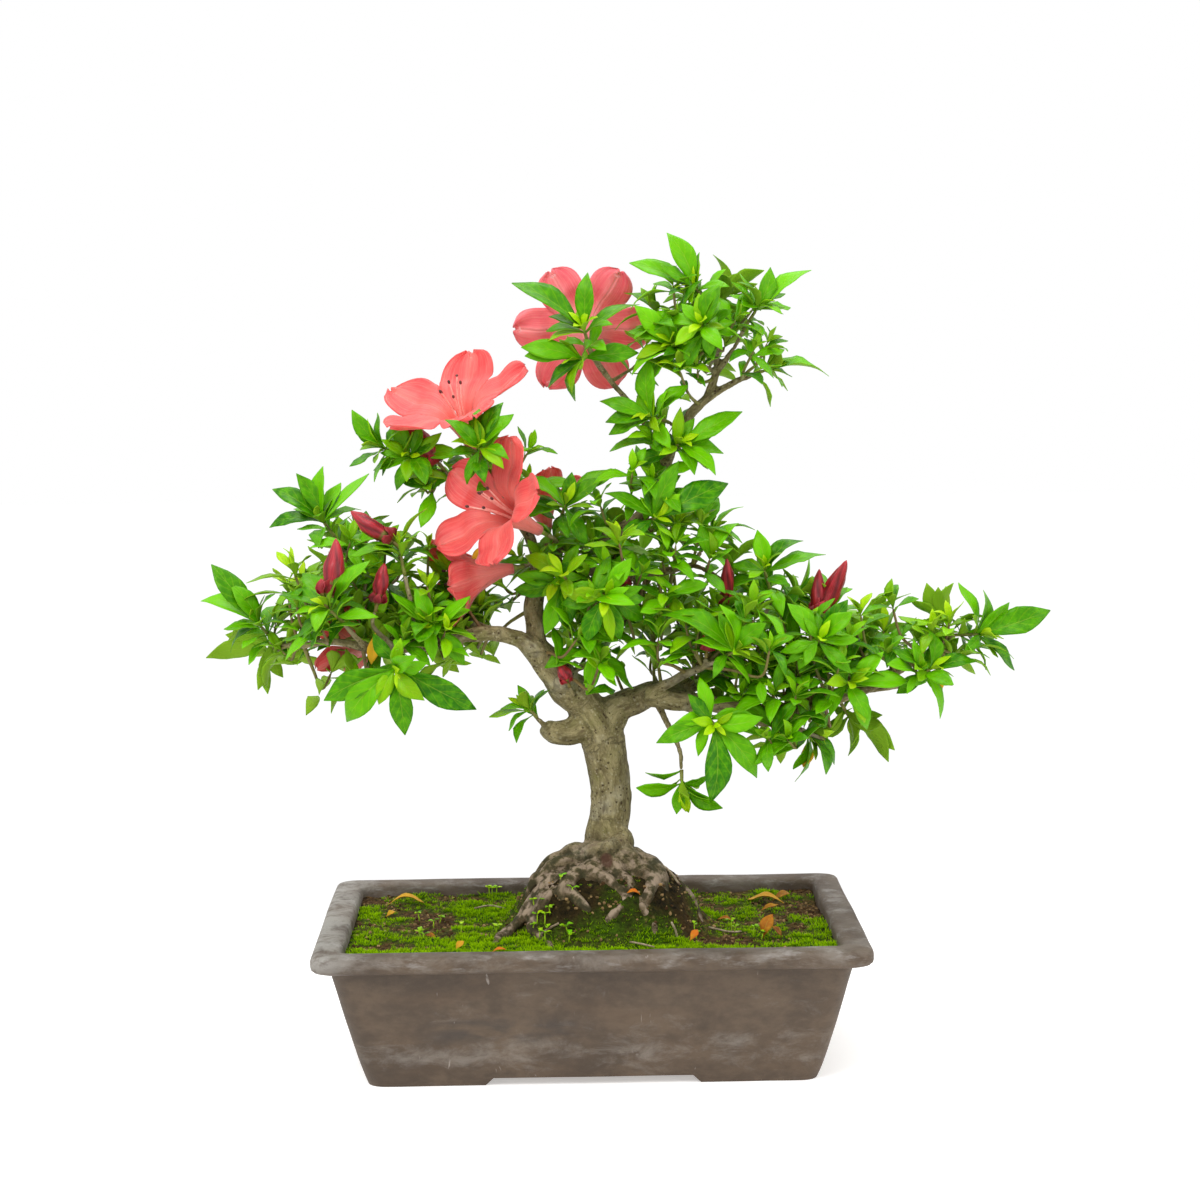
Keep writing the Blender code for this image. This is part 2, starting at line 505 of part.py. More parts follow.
def make_pot(parts, cutters):
    neck = POT_HEIGHT - RIM_HEIGHT
    high = (RIM_WIDTH - 2 * RIM_OVERHANG, RIM_DEPTH - 2 * RIM_OVERHANG)
    low = (high[0] - 2 * FOOT_TAPER, high[1] - 2 * FOOT_TAPER)
    bm = rounded_block(low, high, 0.0, neck)
    face = max(bm.faces, key=lambda f: f.calc_center_median().z)
    for inset, below in RIM_LEDGES:
        face = extrude_to(bm, face, RIM_WIDTH - 2 * inset, RIM_DEPTH - 2 * inset, POT_HEIGHT - below)
    width, depth = inner_size(FLOOR_TOP + FLOOR_EDGE_RISE)
    face = extrude_to(bm, face, width, depth, FLOOR_TOP + FLOOR_EDGE_RISE)
    width, depth = inner_size(FLOOR_TOP)
    extrude_to(bm, face, width - FLOOR_EDGE_INSET, depth - FLOOR_EDGE_INSET, FLOOR_TOP)
    pot = link_mesh("pot", mesh_of(bm, "pot"), parts)
    for wide, high in (((FRONT_RECESS[0], RIM_DEPTH), (FRONT_RECESS[1], RIM_DEPTH)),
                       ((RIM_WIDTH, SIDE_RECESS[0]), (RIM_WIDTH, SIDE_RECESS[1]))):
        recess = box_cutter("recess", wide, high, -RECESS_MARGIN, FOOT_RECESS, cutters)
        boolean(pot, recess, "DIFFERENCE")
    for x in (-DRAIN_X, DRAIN_X):
        hole = cylinder_cutter("drain", DRAIN_RADIUS, x, -RECESS_MARGIN, FLOOR_TOP + RECESS_MARGIN, cutters)
        boolean(pot, hole, "DIFFERENCE")
    finish(pot, "pot")
    return pot


def make_screen(name, x, parts, cutters):
    low = FLOOR_TOP + GAP
    bm = bmesh.new()
    bmesh.ops.create_cube(bm, size=1.0)
    bmesh.ops.scale(bm, verts=bm.verts, vec=Vector((SCREEN_SIDE, SCREEN_SIDE, SCREEN_THICK)) * MM)
    bmesh.ops.translate(bm, verts=bm.verts, vec=Vector((x, 0, low + SCREEN_THICK / 2)) * MM)
    screen = link_mesh(name, mesh_of(bm, name), parts)
    holes = new_collection("screen_openings", helper=True)
    middle = (SCREEN_OPENINGS - 1) / 2
    for column in range(SCREEN_OPENINGS):
        for row in range(SCREEN_OPENINGS):
            side = (SCREEN_OPENING, SCREEN_OPENING)
            hole = box_cutter("opening", side, side, low - SCREEN_THICK, low + 2 * SCREEN_THICK, holes)
            hole.location = Vector((x + (column - middle) * SCREEN_PITCH,
                                   (row - middle) * SCREEN_PITCH, 0)) * MM
    boolean(screen, holes, "DIFFERENCE")
    finish(screen, "screen")
    return screen


def soil_height(x, y):
    """Height of the soil's surface in millimetres."""
    across = (x - MOUND_CENTRE[0]) / MOUND_SPREAD[0]
    along = (y - MOUND_CENTRE[1]) / MOUND_SPREAD[1]
    far = across * across + along * along
    mound = MOUND_HEIGHT * math.exp(-MOUND_FALL * far ** MOUND_LEVEL)
    mound += MOUND_PEAK * math.exp(-PEAK_FALL * far)
    height, rate_x, rate_y = BROAD_ROLL
    rolls = height * math.sin(x * rate_x + 1.0) * math.cos(y * rate_y)
    height, rate_x, rate_y = FINE_ROLL
    rolls += height * math.sin(x * rate_x + y * rate_y)
    return SOIL_LEVEL + mound + rolls


def graded(share):
    """Spreads grid lines from -0.5 to 0.5 so that they stand closest in the middle."""
    return share * (CELL_WIDTH + CELL_GROWTH * share * share)


def make_soil(parts, cutters):
    """Soil that fills the pot under an uneven surface, with plain holes for the trunk and the roots."""
    low = FLOOR_TOP + FLOOR_EDGE_RISE
    width, depth = [side - 2 * SOIL_CLEARANCE for side in inner_size(low)]
    rise = 2 * FOOT_TAPER * (SOIL_TOP - low) / (POT_HEIGHT - RIM_HEIGHT)
    bm = rounded_block((width, depth), (width + rise, depth + rise), low, SOIL_TOP)
    face = min(bm.faces, key=lambda f: f.calc_center_median().z)
    extrude_to(bm, face, width - 2 * FLOOR_EDGE_INSET, depth - 2 * FLOOR_EDGE_INSET, FLOOR_TOP + GAP)
    soil = link_mesh("soil", mesh_of(bm, "soil"), parts)
    bm = bmesh.new()
    bmesh.ops.create_grid(bm, x_segments=SOIL_CELLS[0], y_segments=SOIL_CELLS[1], size=0.5)
    for vert in bm.verts:
        x = MOUND_CENTRE[0] + graded(vert.co.x) * RIM_WIDTH
        y = MOUND_CENTRE[1] + graded(vert.co.y) * RIM_DEPTH
        vert.co = Vector((x, y, soil_height(x, y))) * MM
    grown = bmesh.ops.extrude_face_region(bm, geom=bm.faces[:])
    for item in grown["geom"]:
        if isinstance(item, bmesh.types.BMVert):
            item.co.z = 2 * SOIL_TOP * MM
    above = as_helper(link_mesh("above_soil", mesh_of(bm, "above_soil"), cutters))
    boolean(soil, above, "DIFFERENCE")
    side = (SCREEN_SIDE + 2 * GAP, SCREEN_SIDE + 2 * GAP)
    for x in (-DRAIN_X, DRAIN_X):
        pocket = box_cutter("screen_pocket", side, side, 0.0, FLOOR_TOP + SCREEN_THICK + 2 * GAP, cutters)
        pocket.location.x = x * MM
        boolean(soil, pocket, "DIFFERENCE")
    holes = new_collection("root_holes", helper=True)
    trunk_tubes(holes, grow=HOLE_GROW)
    boolean(soil, holes, "DIFFERENCE", "MANIFOLD")
    keep_largest_body(soil)
    finish(soil, "soil")
    return soil


def root_path(path):
    """A root's points, from heights above the soil to heights above the ground."""
    return [(x, y, soil_height(x, y) + lift, radius) for x, y, lift, radius in path]


def lengthened(path, more):
    """The path with both ends moved out along it."""
    points = [Vector(p) for p in path]
    for end, inner in ((0, 1), (-1, -2)):
        out = (points[end] - points[inner]).to_3d().normalized() * more
        points[end] = points[end] + out.to_4d() - Vector((0, 0, 0, 1))
    return points


def trunk_tubes(collection, grow=0.0):
    """The trunk and roots. Grown a little, they make the holes that they stand in."""
    made = [tube("trunk", lengthened(TRUNK, grow), TRUNK_ROUNDING, collection, grow)]
    for index, path in enumerate(ROOTS):
        made.append(tube(f"root_{index}", lengthened(root_path(path), grow), MIDDLE_ROUNDING,
                    collection, grow))
    return made


def rounding(path):
    """How finely a limb is rounded, from its radius at the thick end."""
    radius = path[0][3]
    if radius > THICK_LIMB:
        return THICK_ROUNDING
    return MIDDLE_ROUNDING if radius > MIDDLE_LIMB else 0


def make_wood(parts):
    pieces = new_collection("wood_pieces", helper=True)
    trunk = trunk_tubes(pieces)[0]
    tube("stub", STUB, rounding(STUB), pieces)
    for name, path in BRANCHES.items():
        tube(name, path, rounding(path), pieces)
    for name, path in twig_paths().items():
        tube(name, path, 0, pieces)
    pieces.objects.unlink(trunk)
    parts.objects.link(trunk)
    wood = join_as("wood", trunk, pieces, parts, "MANIFOLD")
    finish(wood, "wood")
    return wood


def station(branch, index):
    path = STUB if branch == "stub" else BRANCHES[branch]
    return Vector(path[index][:3])


def bend_between(start, end, heading, radius):
    """Points of a twig whose last stretch runs straight along a heading."""
    knee = end - heading * TWIG_STRAIGHT * (end - start).length
    return [(*p, radius) for p in (start, knee, end)]


def shoot_foot(name):
    """Where a twig turns into a green shoot, and the way that it heads there."""
    branch, index, whorls = SHOOTS[name]
    start = station(branch, index)
    ends = [Vector(w[0]) for w in whorls]
    target = sum(ends, Vector()) / len(ends)
    way = target - start
    green = min(SHOOT_LENGTH, SHOOT_SHARE * way.length)
    heading = (way.normalized() + Vector((0, 0, TWIG_LIFT))).normalized()
    return target - way.normalized() * green, heading


def bloom_axis(name):
    foot, mouth = Vector(BLOOMS[name][2]), Vector(BLOOMS[name][3])
    return foot, (mouth - foot).normalized()


def bud_foot(name):
    """Foot of a bud, on its twig or just past the end of a leafy shoot's stem, and the way that it heads."""
    carrier, index, foot, tips = BUDS[name]
    middle = sum([Vector(tip) for tip, _ in tips], Vector()) / len(tips)
    if foot is not None:
        return Vector(foot), (middle - Vector(foot)).normalized()
    stem = shoot_stems(carrier)[index]
    end = Vector(stem[-1][:3])
    heading = (end - Vector(stem[-2][:3])).normalized()
    way = (middle - end).normalized()
    return end + heading * GAP + (way - heading * way.dot(heading)) * GAP, heading


def twig_paths():
    """Twigs that end a gap short of what they carry, square to it."""
    carried = {name: (SHOOTS[name][0], SHOOTS[name][1], *shoot_foot(name)) for name in SHOOTS}
    carried.update({name: (BLOOMS[name][0], BLOOMS[name][1], *bloom_axis(name)) for name in BLOOMS})
    for name, (carrier, index, foot, _) in BUDS.items():
        if foot is not None:
            carried[name] = (carrier, index, *bud_foot(name))
    paths = {}
    for name, (branch, index, foot, heading) in carried.items():
        paths["twig_" + name] = bend_between(station(branch, index), foot - heading * GAP, heading,
                                             TWIG_RADIUS)
    return paths


def shoot_stems(name):
    """Paths of the green stems of a shoot, one for each whorl. Both leave the twig's end square to it."""
    foot, heading = shoot_foot(name)
    stems = []
    for middle, _, _ in SHOOTS[name][2]:
        end = Vector(middle)
        knee = foot + heading * SHOOT_KNEE
        stems.append([(*foot, SHOOT_RADIUS), (*knee, SHOOT_RADIUS), (*end, SHOOT_TIP_RADIUS)])
    return stems


def leaf_frame(root, tip, up):
    along = (tip - root).normalized()
    side = along.cross(up)
    if side.length < LEAST_CROSS:
        side = along.cross(Vector(OTHER_UP))
    side.normalize()
    return along, side, side.cross(along).normalized()


def leaf_bmesh(root, tip, up, width, thick):
    """One blade between two points: narrow root, pointed tip, arched along its length."""
    along, side, face = leaf_frame(root, tip, up)
    length = (tip - root).length
    bm = bmesh.new()
    rows = []
    for share, spread in LEAF_OUTLINE:
        middle = root + along * length * share + face * LEAF_ARCH * length * 4 * share * (1 - share)
        half = max(spread * width * length / 2, LEAF_ROOT / 2 if share < 0.5 else 0.0)
        shift = side * half
        rows.append([middle] if half == 0.0 else [middle - shift, middle + shift])
    lift = face * thick / 2
    sheets = []
    for sign in (1, -1):
        sheets.append([[bm.verts.new((p + lift * sign) * MM) for p in row] for row in rows[:-1]])
    point = bm.verts.new(rows[-1][0] * MM)
    top, bottom = sheets
    for a, b in zip(top, top[1:]):
        bm.faces.new((a[0], a[1], b[1], b[0]))
    for a, b in zip(bottom, bottom[1:]):
        bm.faces.new((a[1], a[0], b[0], b[1]))
    bm.faces.new((top[-1][0], top[-1][1], point))
    bm.faces.new((bottom[-1][1], bottom[-1][0], point))
    for s in (0, 1):
        for row in range(len(top) - 1):
            bm.faces.new((top[row][s], top[row + 1][s], bottom[row + 1][s], bottom[row][s]))
        bm.faces.new((top[-1][s], point, bottom[-1][s]))
    bm.faces.new((top[0][0], bottom[0][0], bottom[0][1], top[0][1]))
    bmesh.ops.recalc_face_normals(bm, faces=bm.faces)
    return bm


class Crowd:
    """What stands in the way of a new leaf."""

    def __init__(self):
        self.items = []

    def add(self, owner, whole, outer, low, high):
        self.items.append((owner, whole, outer, low, high))

    def add_mesh(self, owner, mesh):
        bm = bmesh.new()
        bm.from_mesh(mesh)
        tree = BVHTree.FromBMesh(bm)
        self.add(owner, tree, tree, *bounds(bm))
        bm.free()

    def hits(self, owner, whole, outer, low, high):
        """True where a leaf meets another node, or the outer part of a leaf of its own shoot."""
        for other, other_whole, other_outer, other_low, other_high in self.items:
            if any(low[i] > other_high[i] or high[i] < other_low[i] for i in range(3)):
                continue
            if outer.overlap(other_outer) if other == owner else whole.overlap(other_whole):
                return True
        return False


def bounds(bm):
    points = [v.co for v in bm.verts]
    low = Vector([min(p[i] for p in points) for i in range(3)])
    high = Vector([max(p[i] for p in points) for i in range(3)])
    return low, high


def leaf_candidates(name, number, middle, heading, seen):
    """Tips to try for one leaf, nearest to the wanted place first. A leaf at the back has no seen tip."""
    draw = random.Random(f"{name} leaf {number}")
    for attempt in range(LEAF_TRIES):
        if seen is not None:
            flat = Vector((seen[0], 0, seen[1]))
            spread = FIRST_DEPTH + DEPTH_STEP * attempt
            depth = flat.length * draw.uniform(-spread, spread)
            shrink = 1.0 if attempt < FULL_TRIES else SHORTER_FIRST - SHORTER_STEP * (attempt - FULL_TRIES)
            tip = Vector((flat.x * shrink, depth, flat.z * shrink))
        else:
            around = number * BACK_TURN + draw.uniform(-BACK_STRAY, BACK_STRAY) + TRY_TURN * attempt
            lean = math.radians(draw.uniform(*SPREAD_DEGREES))
            length = draw.uniform(*BACK_LEAF_LENGTH) * (1.0 - TRY_SHORTER * attempt)
            side = heading.orthogonal().normalized()
            other = heading.cross(side)
            across = side * math.cos(around) + other * math.sin(around)
            tip = (heading * math.cos(lean) + across * math.sin(lean)) * length
        reach = min(max(tip.length, LEAF_SHORTEST), LEAF_LONGEST)
        yield middle + tip.normalized() * reach


def place_leaves(name, crowd, shelf):
    """Leaves of one shoot, each turned until it is clear of all other nodes."""
    stems = shoot_stems(name)
    for place, (middle, tips, more) in enumerate(SHOOTS[name][2]):
        stem = stems[place]
        heading = (Vector(stem[-1][:3]) - Vector(stem[-2][:3])).normalized()
        centre = Vector(middle)
        for number, seen in enumerate((*tips, *[None] * more)):
            root = centre - heading * (ROOT_DROP + ROOT_STEP * (number % ROOT_CYCLE))
            for tip in leaf_candidates(f"{name} {place}", number, root, heading, seen):
                if set_leaf(name, root, tip, heading, crowd, shelf):
                    break


def set_leaf(name, root, tip, heading, crowd, shelf):
    """Adds a leaf where it is clear of everything, or says that it isn't."""
    up = (heading * WHORL_LIFT + Vector(FACE_UP)).normalized()
    width = LEAF_WIDTH * (SHORT_BROADER if (tip - root).length < SHORT_LEAF else LONG_NARROWER)
    roomy = leaf_bmesh(root, tip, up, width, LEAF_THICK + 2 * LEAF_CLEARANCE)
    outer = BVHTree.FromBMesh(leaf_bmesh(root + (tip - root) * MEETING_SHARE, tip, up, width, LEAF_THICK))
    low, high = bounds(roomy)
    if crowd.hits(name, BVHTree.FromBMesh(roomy), outer, low, high):
        return False
    blade = leaf_bmesh(root, tip, up, width, LEAF_THICK)
    crowd.add(name, BVHTree.FromBMesh(blade), outer, low, high)
    link_mesh("leaf", mesh_of(blade, "leaf"), shelf)
    return True


def make_shoots(parts, crowd):
    stems = {}
    for name in SHOOTS:
        shelf = new_collection(name + "_pieces", helper=True)
        made = [tube("stem", path, 0, shelf) for path in shoot_stems(name)]
        for stem in made:
            crowd.add_mesh("stem of " + name, stem.data)
        stems[name] = (shelf, made[0])
    for name, (shelf, first) in stems.items():
        mine = [item for item in crowd.items if item[0] == "stem of " + name]
        for item in mine:
            crowd.items.remove(item)
        place_leaves(name, crowd, shelf)
        crowd.items.extend(mine)
    for name, (shelf, first) in stems.items():
        shelf.objects.unlink(first)
        parts.objects.link(first)
        shoot = join_as(name, first, shelf, parts, "MANIFOLD")
        finish(shoot, "shoot")


def look_along(direction, turn):
    """Turns +Z to a direction, after a turn in degrees about it."""
    return direction.to_track_quat("Z", "Y").to_matrix().to_4x4() @ Matrix.Rotation(math.radians(turn),
                                   4, "Z")


def petal_half_width(share, reach, petals):
    """Half the width of a petal: from the mouth's edge (0) over its widest place to a round tip (1)."""
    neck = MOUTH_RADIUS * math.sin(math.pi / petals)
    widest = PETAL_HALF_WIDTH * reach
    if share < PETAL_WIDEST:
        ease = math.sin(share / PETAL_WIDEST * math.pi / 2)
        return neck + (widest - neck) * ease
    past = (share - PETAL_WIDEST) / (1.0 - PETAL_WIDEST)
    return widest * math.sqrt(max(0.0, 1.0 - past * past))


def corolla_point(along, across, petals, which, reach, tube_length, flare):
    """A point of a bloom's thin wall: along runs from the tube's foot (0) over its mouth (1) to a tip (2)."""
    angle = 2 * math.pi * which / petals
    if along <= 1.0:
        radius = TUBE_RADIUS + (MOUTH_RADIUS - TUBE_RADIUS) * along ** TUBE_FLARE
        turn = angle + across * math.pi / petals
        return Vector((radius * math.cos(turn), radius * math.sin(turn), tube_length * along))
    share = along - 1.0
    bend = math.radians(flare) * min(1.0, PETAL_BEND_START + share)
    radius = MOUTH_RADIUS + reach * share * math.sin(bend)
    height = tube_length + reach * share * math.cos(bend)
    half = petal_half_width(share, reach, petals)
    sag = PETAL_CUP * half * across * across
    outward = Vector((math.cos(angle), math.sin(angle), 0))
    side = Vector((-math.sin(angle), math.cos(angle), 0))
    return outward * (radius - sag * math.cos(bend)) + side * half * across + Vector((0, 0, height + sag))


def corolla_mesh(petals, reach, tube_length, flare):
    """The open wall of a bloom: a closed tube that parts into petals."""
    steps = len(PETAL_COLUMNS) - 1
    bm = bmesh.new()

    def at(along, across, which):
        return bm.verts.new(corolla_point(along, across, petals, which, reach, tube_length, flare) * MM)

    rings = [[at(along, across, which) for which in range(petals) for across in PETAL_COLUMNS[:-1]]
             for along in (0.0, 1.0)]
    count = len(rings[0])
    for i in range(count):
        after = (i + 1) % count
        bm.faces.new((rings[0][i], rings[0][after], rings[1][after], rings[1][i]))
    bm.faces.new(list(reversed(rings[0])))
    for which in range(petals):
        before = [rings[1][(which * steps + i) % count] for i in range(len(PETAL_COLUMNS))]
        for along in PETAL_ROWS:
            row = [at(along, across, which) for across in PETAL_COLUMNS]
            for a, b, c, d in zip(before, before[1:], row[1:], row):
                bm.faces.new((a, b, c, d))
            before = row
        tip = at(2.0, 0.0, which)
        for a, b in zip(before, before[1:]):
            bm.faces.new((a, b, tip))
    bmesh.ops.triangulate(bm, faces=bm.faces)
    return mesh_of(bm, "corolla")


def applied(obj):
    """Makes an object's modifiers part of its mesh."""
    bpy.context.view_layer.update()
    graph = bpy.context.evaluated_depsgraph_get()
    obj.data = bpy.data.meshes.new_from_object(obj.evaluated_get(graph))
    obj.modifiers.clear()


def make_bloom(name, parts):
    _, _, foot, mouth, turn, flare, petals, reach, stamens = BLOOMS[name]
    foot, axis = bloom_axis(name)
    tube_length = (Vector(mouth) - foot).length - STALK
    bloom = link_mesh(name, corolla_mesh(petals, reach, tube_length, flare), parts)
    shell = bloom.modifiers.new("wall", "SOLIDIFY")
    shell.thickness = PETAL_THICK * MM
    shell.offset = 0.0
    applied(bloom)
    place = Matrix.Translation((foot + axis * STALK) * MM) @ look_along(axis, turn)
    bloom.data.transform(place)
    pieces = new_collection(name + "_pieces", helper=True)
    swell = foot + axis * STALK_SWELL_AT
    base = foot + axis * (STALK + STALK_INSIDE)
    stalk = [(*foot, STALK_RADIUS), (*swell, STALK_SWELL), (*base, TUBE_RADIUS * STALK_END)]
    tube("stalk", stalk, 0, pieces)
    for number in range(STAMENS if stamens else 0):
        around = number * 2 * math.pi / STAMENS
        sideways = place.to_3x3() @ Vector((math.cos(around), math.sin(around), 0))
        start = foot + axis * STALK + sideways * STAMEN_FOOT
        middle = start + axis * (tube_length + STAMEN_RISE) + sideways * STAMEN_LEAN
        end = middle + axis * (STAMEN_END + STAMEN_END_STEP * (number % 3)) + sideways * STAMEN_END_LEAN
        tube("stamen", [(*p, STAMEN_RADIUS) for p in (start, middle, end)], 0, pieces)
    join_as(name, bloom, pieces, parts, "MANIFOLD")
    finish(bloom, "bloom")
    return bloom


def bud_tube(foot, heading, tip, radius, collection):
    """A stalk that swells into a pointed bud."""
    knee = foot + heading * BUD_KNEE
    body = tip - knee
    path = [(*foot, BUD_STALK_RADIUS), (*knee, BUD_KNEE_RADIUS)]
    for share, size in BUD_OUTLINE:
        path.append((*(knee + body * share), size * radius))
    return tube("bud", path, 1, collection)


def make_bud(name, parts):
    foot, heading = bud_foot(name)
    pieces = new_collection(name + "_pieces", helper=True)
    made = [bud_tube(foot, heading, Vector(tip), radius, pieces) for tip, radius in BUDS[name][3]]
    pieces.objects.unlink(made[0])
    parts.objects.link(made[0])
    if len(made) > 1:
        join_as(name, made[0], pieces, parts, "MANIFOLD")
    else:
        bpy.data.collections.remove(pieces)
        made[0].name = name
    finish(made[0], "bud")
    return made[0]


def make_fallen(name, surface, parts):
    """A leaf that rests on the soil with its root and its tip."""
    middle, heading, length, width = FALLEN[name]
    turn = math.radians(heading)
    half = Vector((math.cos(turn), math.sin(turn), 0)) * length / 2
    root, tip = Vector((*middle, 0)) - half, Vector((*middle, 0)) + half
    for end in (root, tip):
        hit = surface.ray_cast(Vector((end.x, end.y, 2 * SOIL_TOP)) * MM, Vector((0, 0, -1)))[0]
        end.z = hit.z / MM + GAP + LEAF_THICK / 2
    bm = leaf_bmesh(root, tip, Vector((0, 0, 1)), width / length, LEAF_THICK)
    leaf = link_mesh(name, mesh_of(bm, name), parts)
    finish(leaf, "fallen")
    return leaf


def main():
    clear_scene()
    parts = new_collection(NAME)
    cutters = new_collection("cutters", helper=True)
    make_pot(parts, cutters)
    make_screen("drain_screen_left", -DRAIN_X, parts, cutters)
    make_screen("drain_screen_right", DRAIN_X, parts, cutters)
    soil = make_soil(parts, cutters)
    crowd = Crowd()
    crowd.add_mesh("soil", soil.data)
    surface = crowd.items[-1][1]
    crowd.add_mesh("wood", make_wood(parts).data)
    for name in BLOOMS:
        crowd.add_mesh(name, make_bloom(name, parts).data)
    for name in BUDS:
        crowd.add_mesh(name, make_bud(name, parts).data)
    for name in FALLEN:
        make_fallen(name, surface, parts)
    make_shoots(parts, crowd)
    for piece in parts.objects:
        piece.data.transform(Matrix.Translation(-metres(OUTLINE_MIDDLE)))


main()
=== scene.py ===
"""The looks of the satsuki azalea bonsai: bark, leaves, blooms, buds, moss, grit and the unglazed pot.

The lists are in millimetres from the middle of the pot, as in the part's source, and repeat its numbers, so
that each finer piece stands where its solid stands. placed() turns them into the row's frame, in metres.
"""

import math
import random

import bmesh
import bpy
from mathutils import Matrix, Vector, noise
from mathutils.kdtree import KDTree


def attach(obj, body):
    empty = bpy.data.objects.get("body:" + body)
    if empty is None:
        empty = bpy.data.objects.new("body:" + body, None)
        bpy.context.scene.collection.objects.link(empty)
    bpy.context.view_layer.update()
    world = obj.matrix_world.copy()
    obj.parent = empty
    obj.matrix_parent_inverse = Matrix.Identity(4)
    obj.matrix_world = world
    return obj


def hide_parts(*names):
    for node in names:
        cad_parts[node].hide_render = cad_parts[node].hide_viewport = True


# Without a seed of its own, the noise of directions would differ from run to run
NOISE_SEED = 7
noise.seed_set(NOISE_SEED)

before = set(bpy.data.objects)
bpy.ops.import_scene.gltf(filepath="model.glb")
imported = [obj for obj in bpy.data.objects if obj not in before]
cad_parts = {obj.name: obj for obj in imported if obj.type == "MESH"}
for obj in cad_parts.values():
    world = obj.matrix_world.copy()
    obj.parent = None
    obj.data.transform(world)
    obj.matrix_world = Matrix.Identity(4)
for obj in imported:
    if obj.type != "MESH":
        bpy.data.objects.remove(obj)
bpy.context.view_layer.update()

MM = 0.001
OUTLINE_MIDDLE = Vector((20.0, 0.0, 0.0))
BODY = "root"

# Camera, fitted to the edges of the pot in the photograph
CAMERA_LENS, CAMERA_SENSOR = 79.17, 36.0
CAMERA_DISTANCE = 1.337
CAMERA_TARGET = (7.0, 0.0, 232.0)
CAMERA_ELEVATION, CAMERA_YAW, CAMERA_ROLL = 0.1091, 0.018, -0.011
VIEW_AHEAD = Vector((math.sin(CAMERA_YAW) * math.cos(CAMERA_ELEVATION),
                     math.cos(CAMERA_YAW) * math.cos(CAMERA_ELEVATION), -math.sin(CAMERA_ELEVATION)))

# Pot
RIM_WIDTH, RIM_DEPTH = 272.5, 181.0
POT_HEIGHT = 70.5
RIM_HEIGHT = 8.8
RIM_OVERHANG = 8.5
RIM_LEDGES = (
    (6.0, 9.0), (3.4, 8.9), (1.5, 8.2), (0.4, 7.0), (0.0, 5.4), (0.0, 3.0), (0.4, 1.4), (1.4, 0.4), (3.0, 0.0),
    (7.0, -0.1), (11.4, 0.0), (13.2, 0.4), (14.3, 1.4), (14.8, 3.2), (15.1, 8.8),
)
HOLLOW_INSET = 15.1
FOOT_TAPER = 15.5
FLOOR_TOP = 11.0
CORNER_RADIUS = 9.0
CORNER_POINTS, LONG_POINTS, SHORT_POINTS = 6, 26, 18
FOOT_RECESS = 4.0
FRONT_RECESS = (110.0, 98.0)
SIDE_RECESS = (63.0, 51.0)
DRAIN_RADIUS, DRAIN_X = 8.0, 55.0

# Soil
SOIL_LEVEL = 63.5
MOUND_CENTRE = (8.0, 0.0)
MOUND_SPREAD = (45.0, 37.0)
MOUND_HEIGHT = 24.0
MOUND_PEAK = 6.0
SOIL_CELLS = (154, 100)
SOIL_FOOT = 40.0
ROOT_BURY = 4.6
MOUND_FALL, MOUND_LEVEL, PEAK_FALL = 0.7, 3, 3.0
BROAD_ROLL, FINE_ROLL = (0.7, 0.06, 0.08), (0.4, 0.15, 0.11)
# Relief of the soil: height and fineness of each cloud
SOIL_GRAIN = ((0.8, 0.12), (0.55, 0.33), (0.35, 0.8))
HEAP_LUMPS = ((2.0, 0.16), (1.0, 0.42))
CUSHION_RISE, CUSHIONS = 1.2, ((1.5, 0.19), (0.5, 0.5))
# Patches on the soil: amount of each cloud, its fineness across and along, and which cloud it is
MOSS_PATCHES = ((1.0, 0.030, 0.038, 3.0), (0.45, 0.09, 0.11, 7.0), (0.3, 0.24, 0.27, 17.0))
MOSS_SHADES = ((1.0, 0.07, 0.09, 20.0), (0.8, 0.22, 0.25, 9.0))
HEAP_EDGE = ((0.16, 0.05, 0.06, 11.0),)
HEAP_CENTRE, HEAP_SPREAD, HEAP_STEEPNESS = (10, -8), (50, 47), 4.0
# How the moss thins out: at the left and the right, and how it thickens along the front
MOSS_LEFT, MOSS_RIGHT, MOSS_FRONT = ((-70, -20), 0.45), (55, 0.42), (-52, 0.5)
MOSS_TUFTS, MOSS_BLADES = 6300, 5
GRAINS = 1300

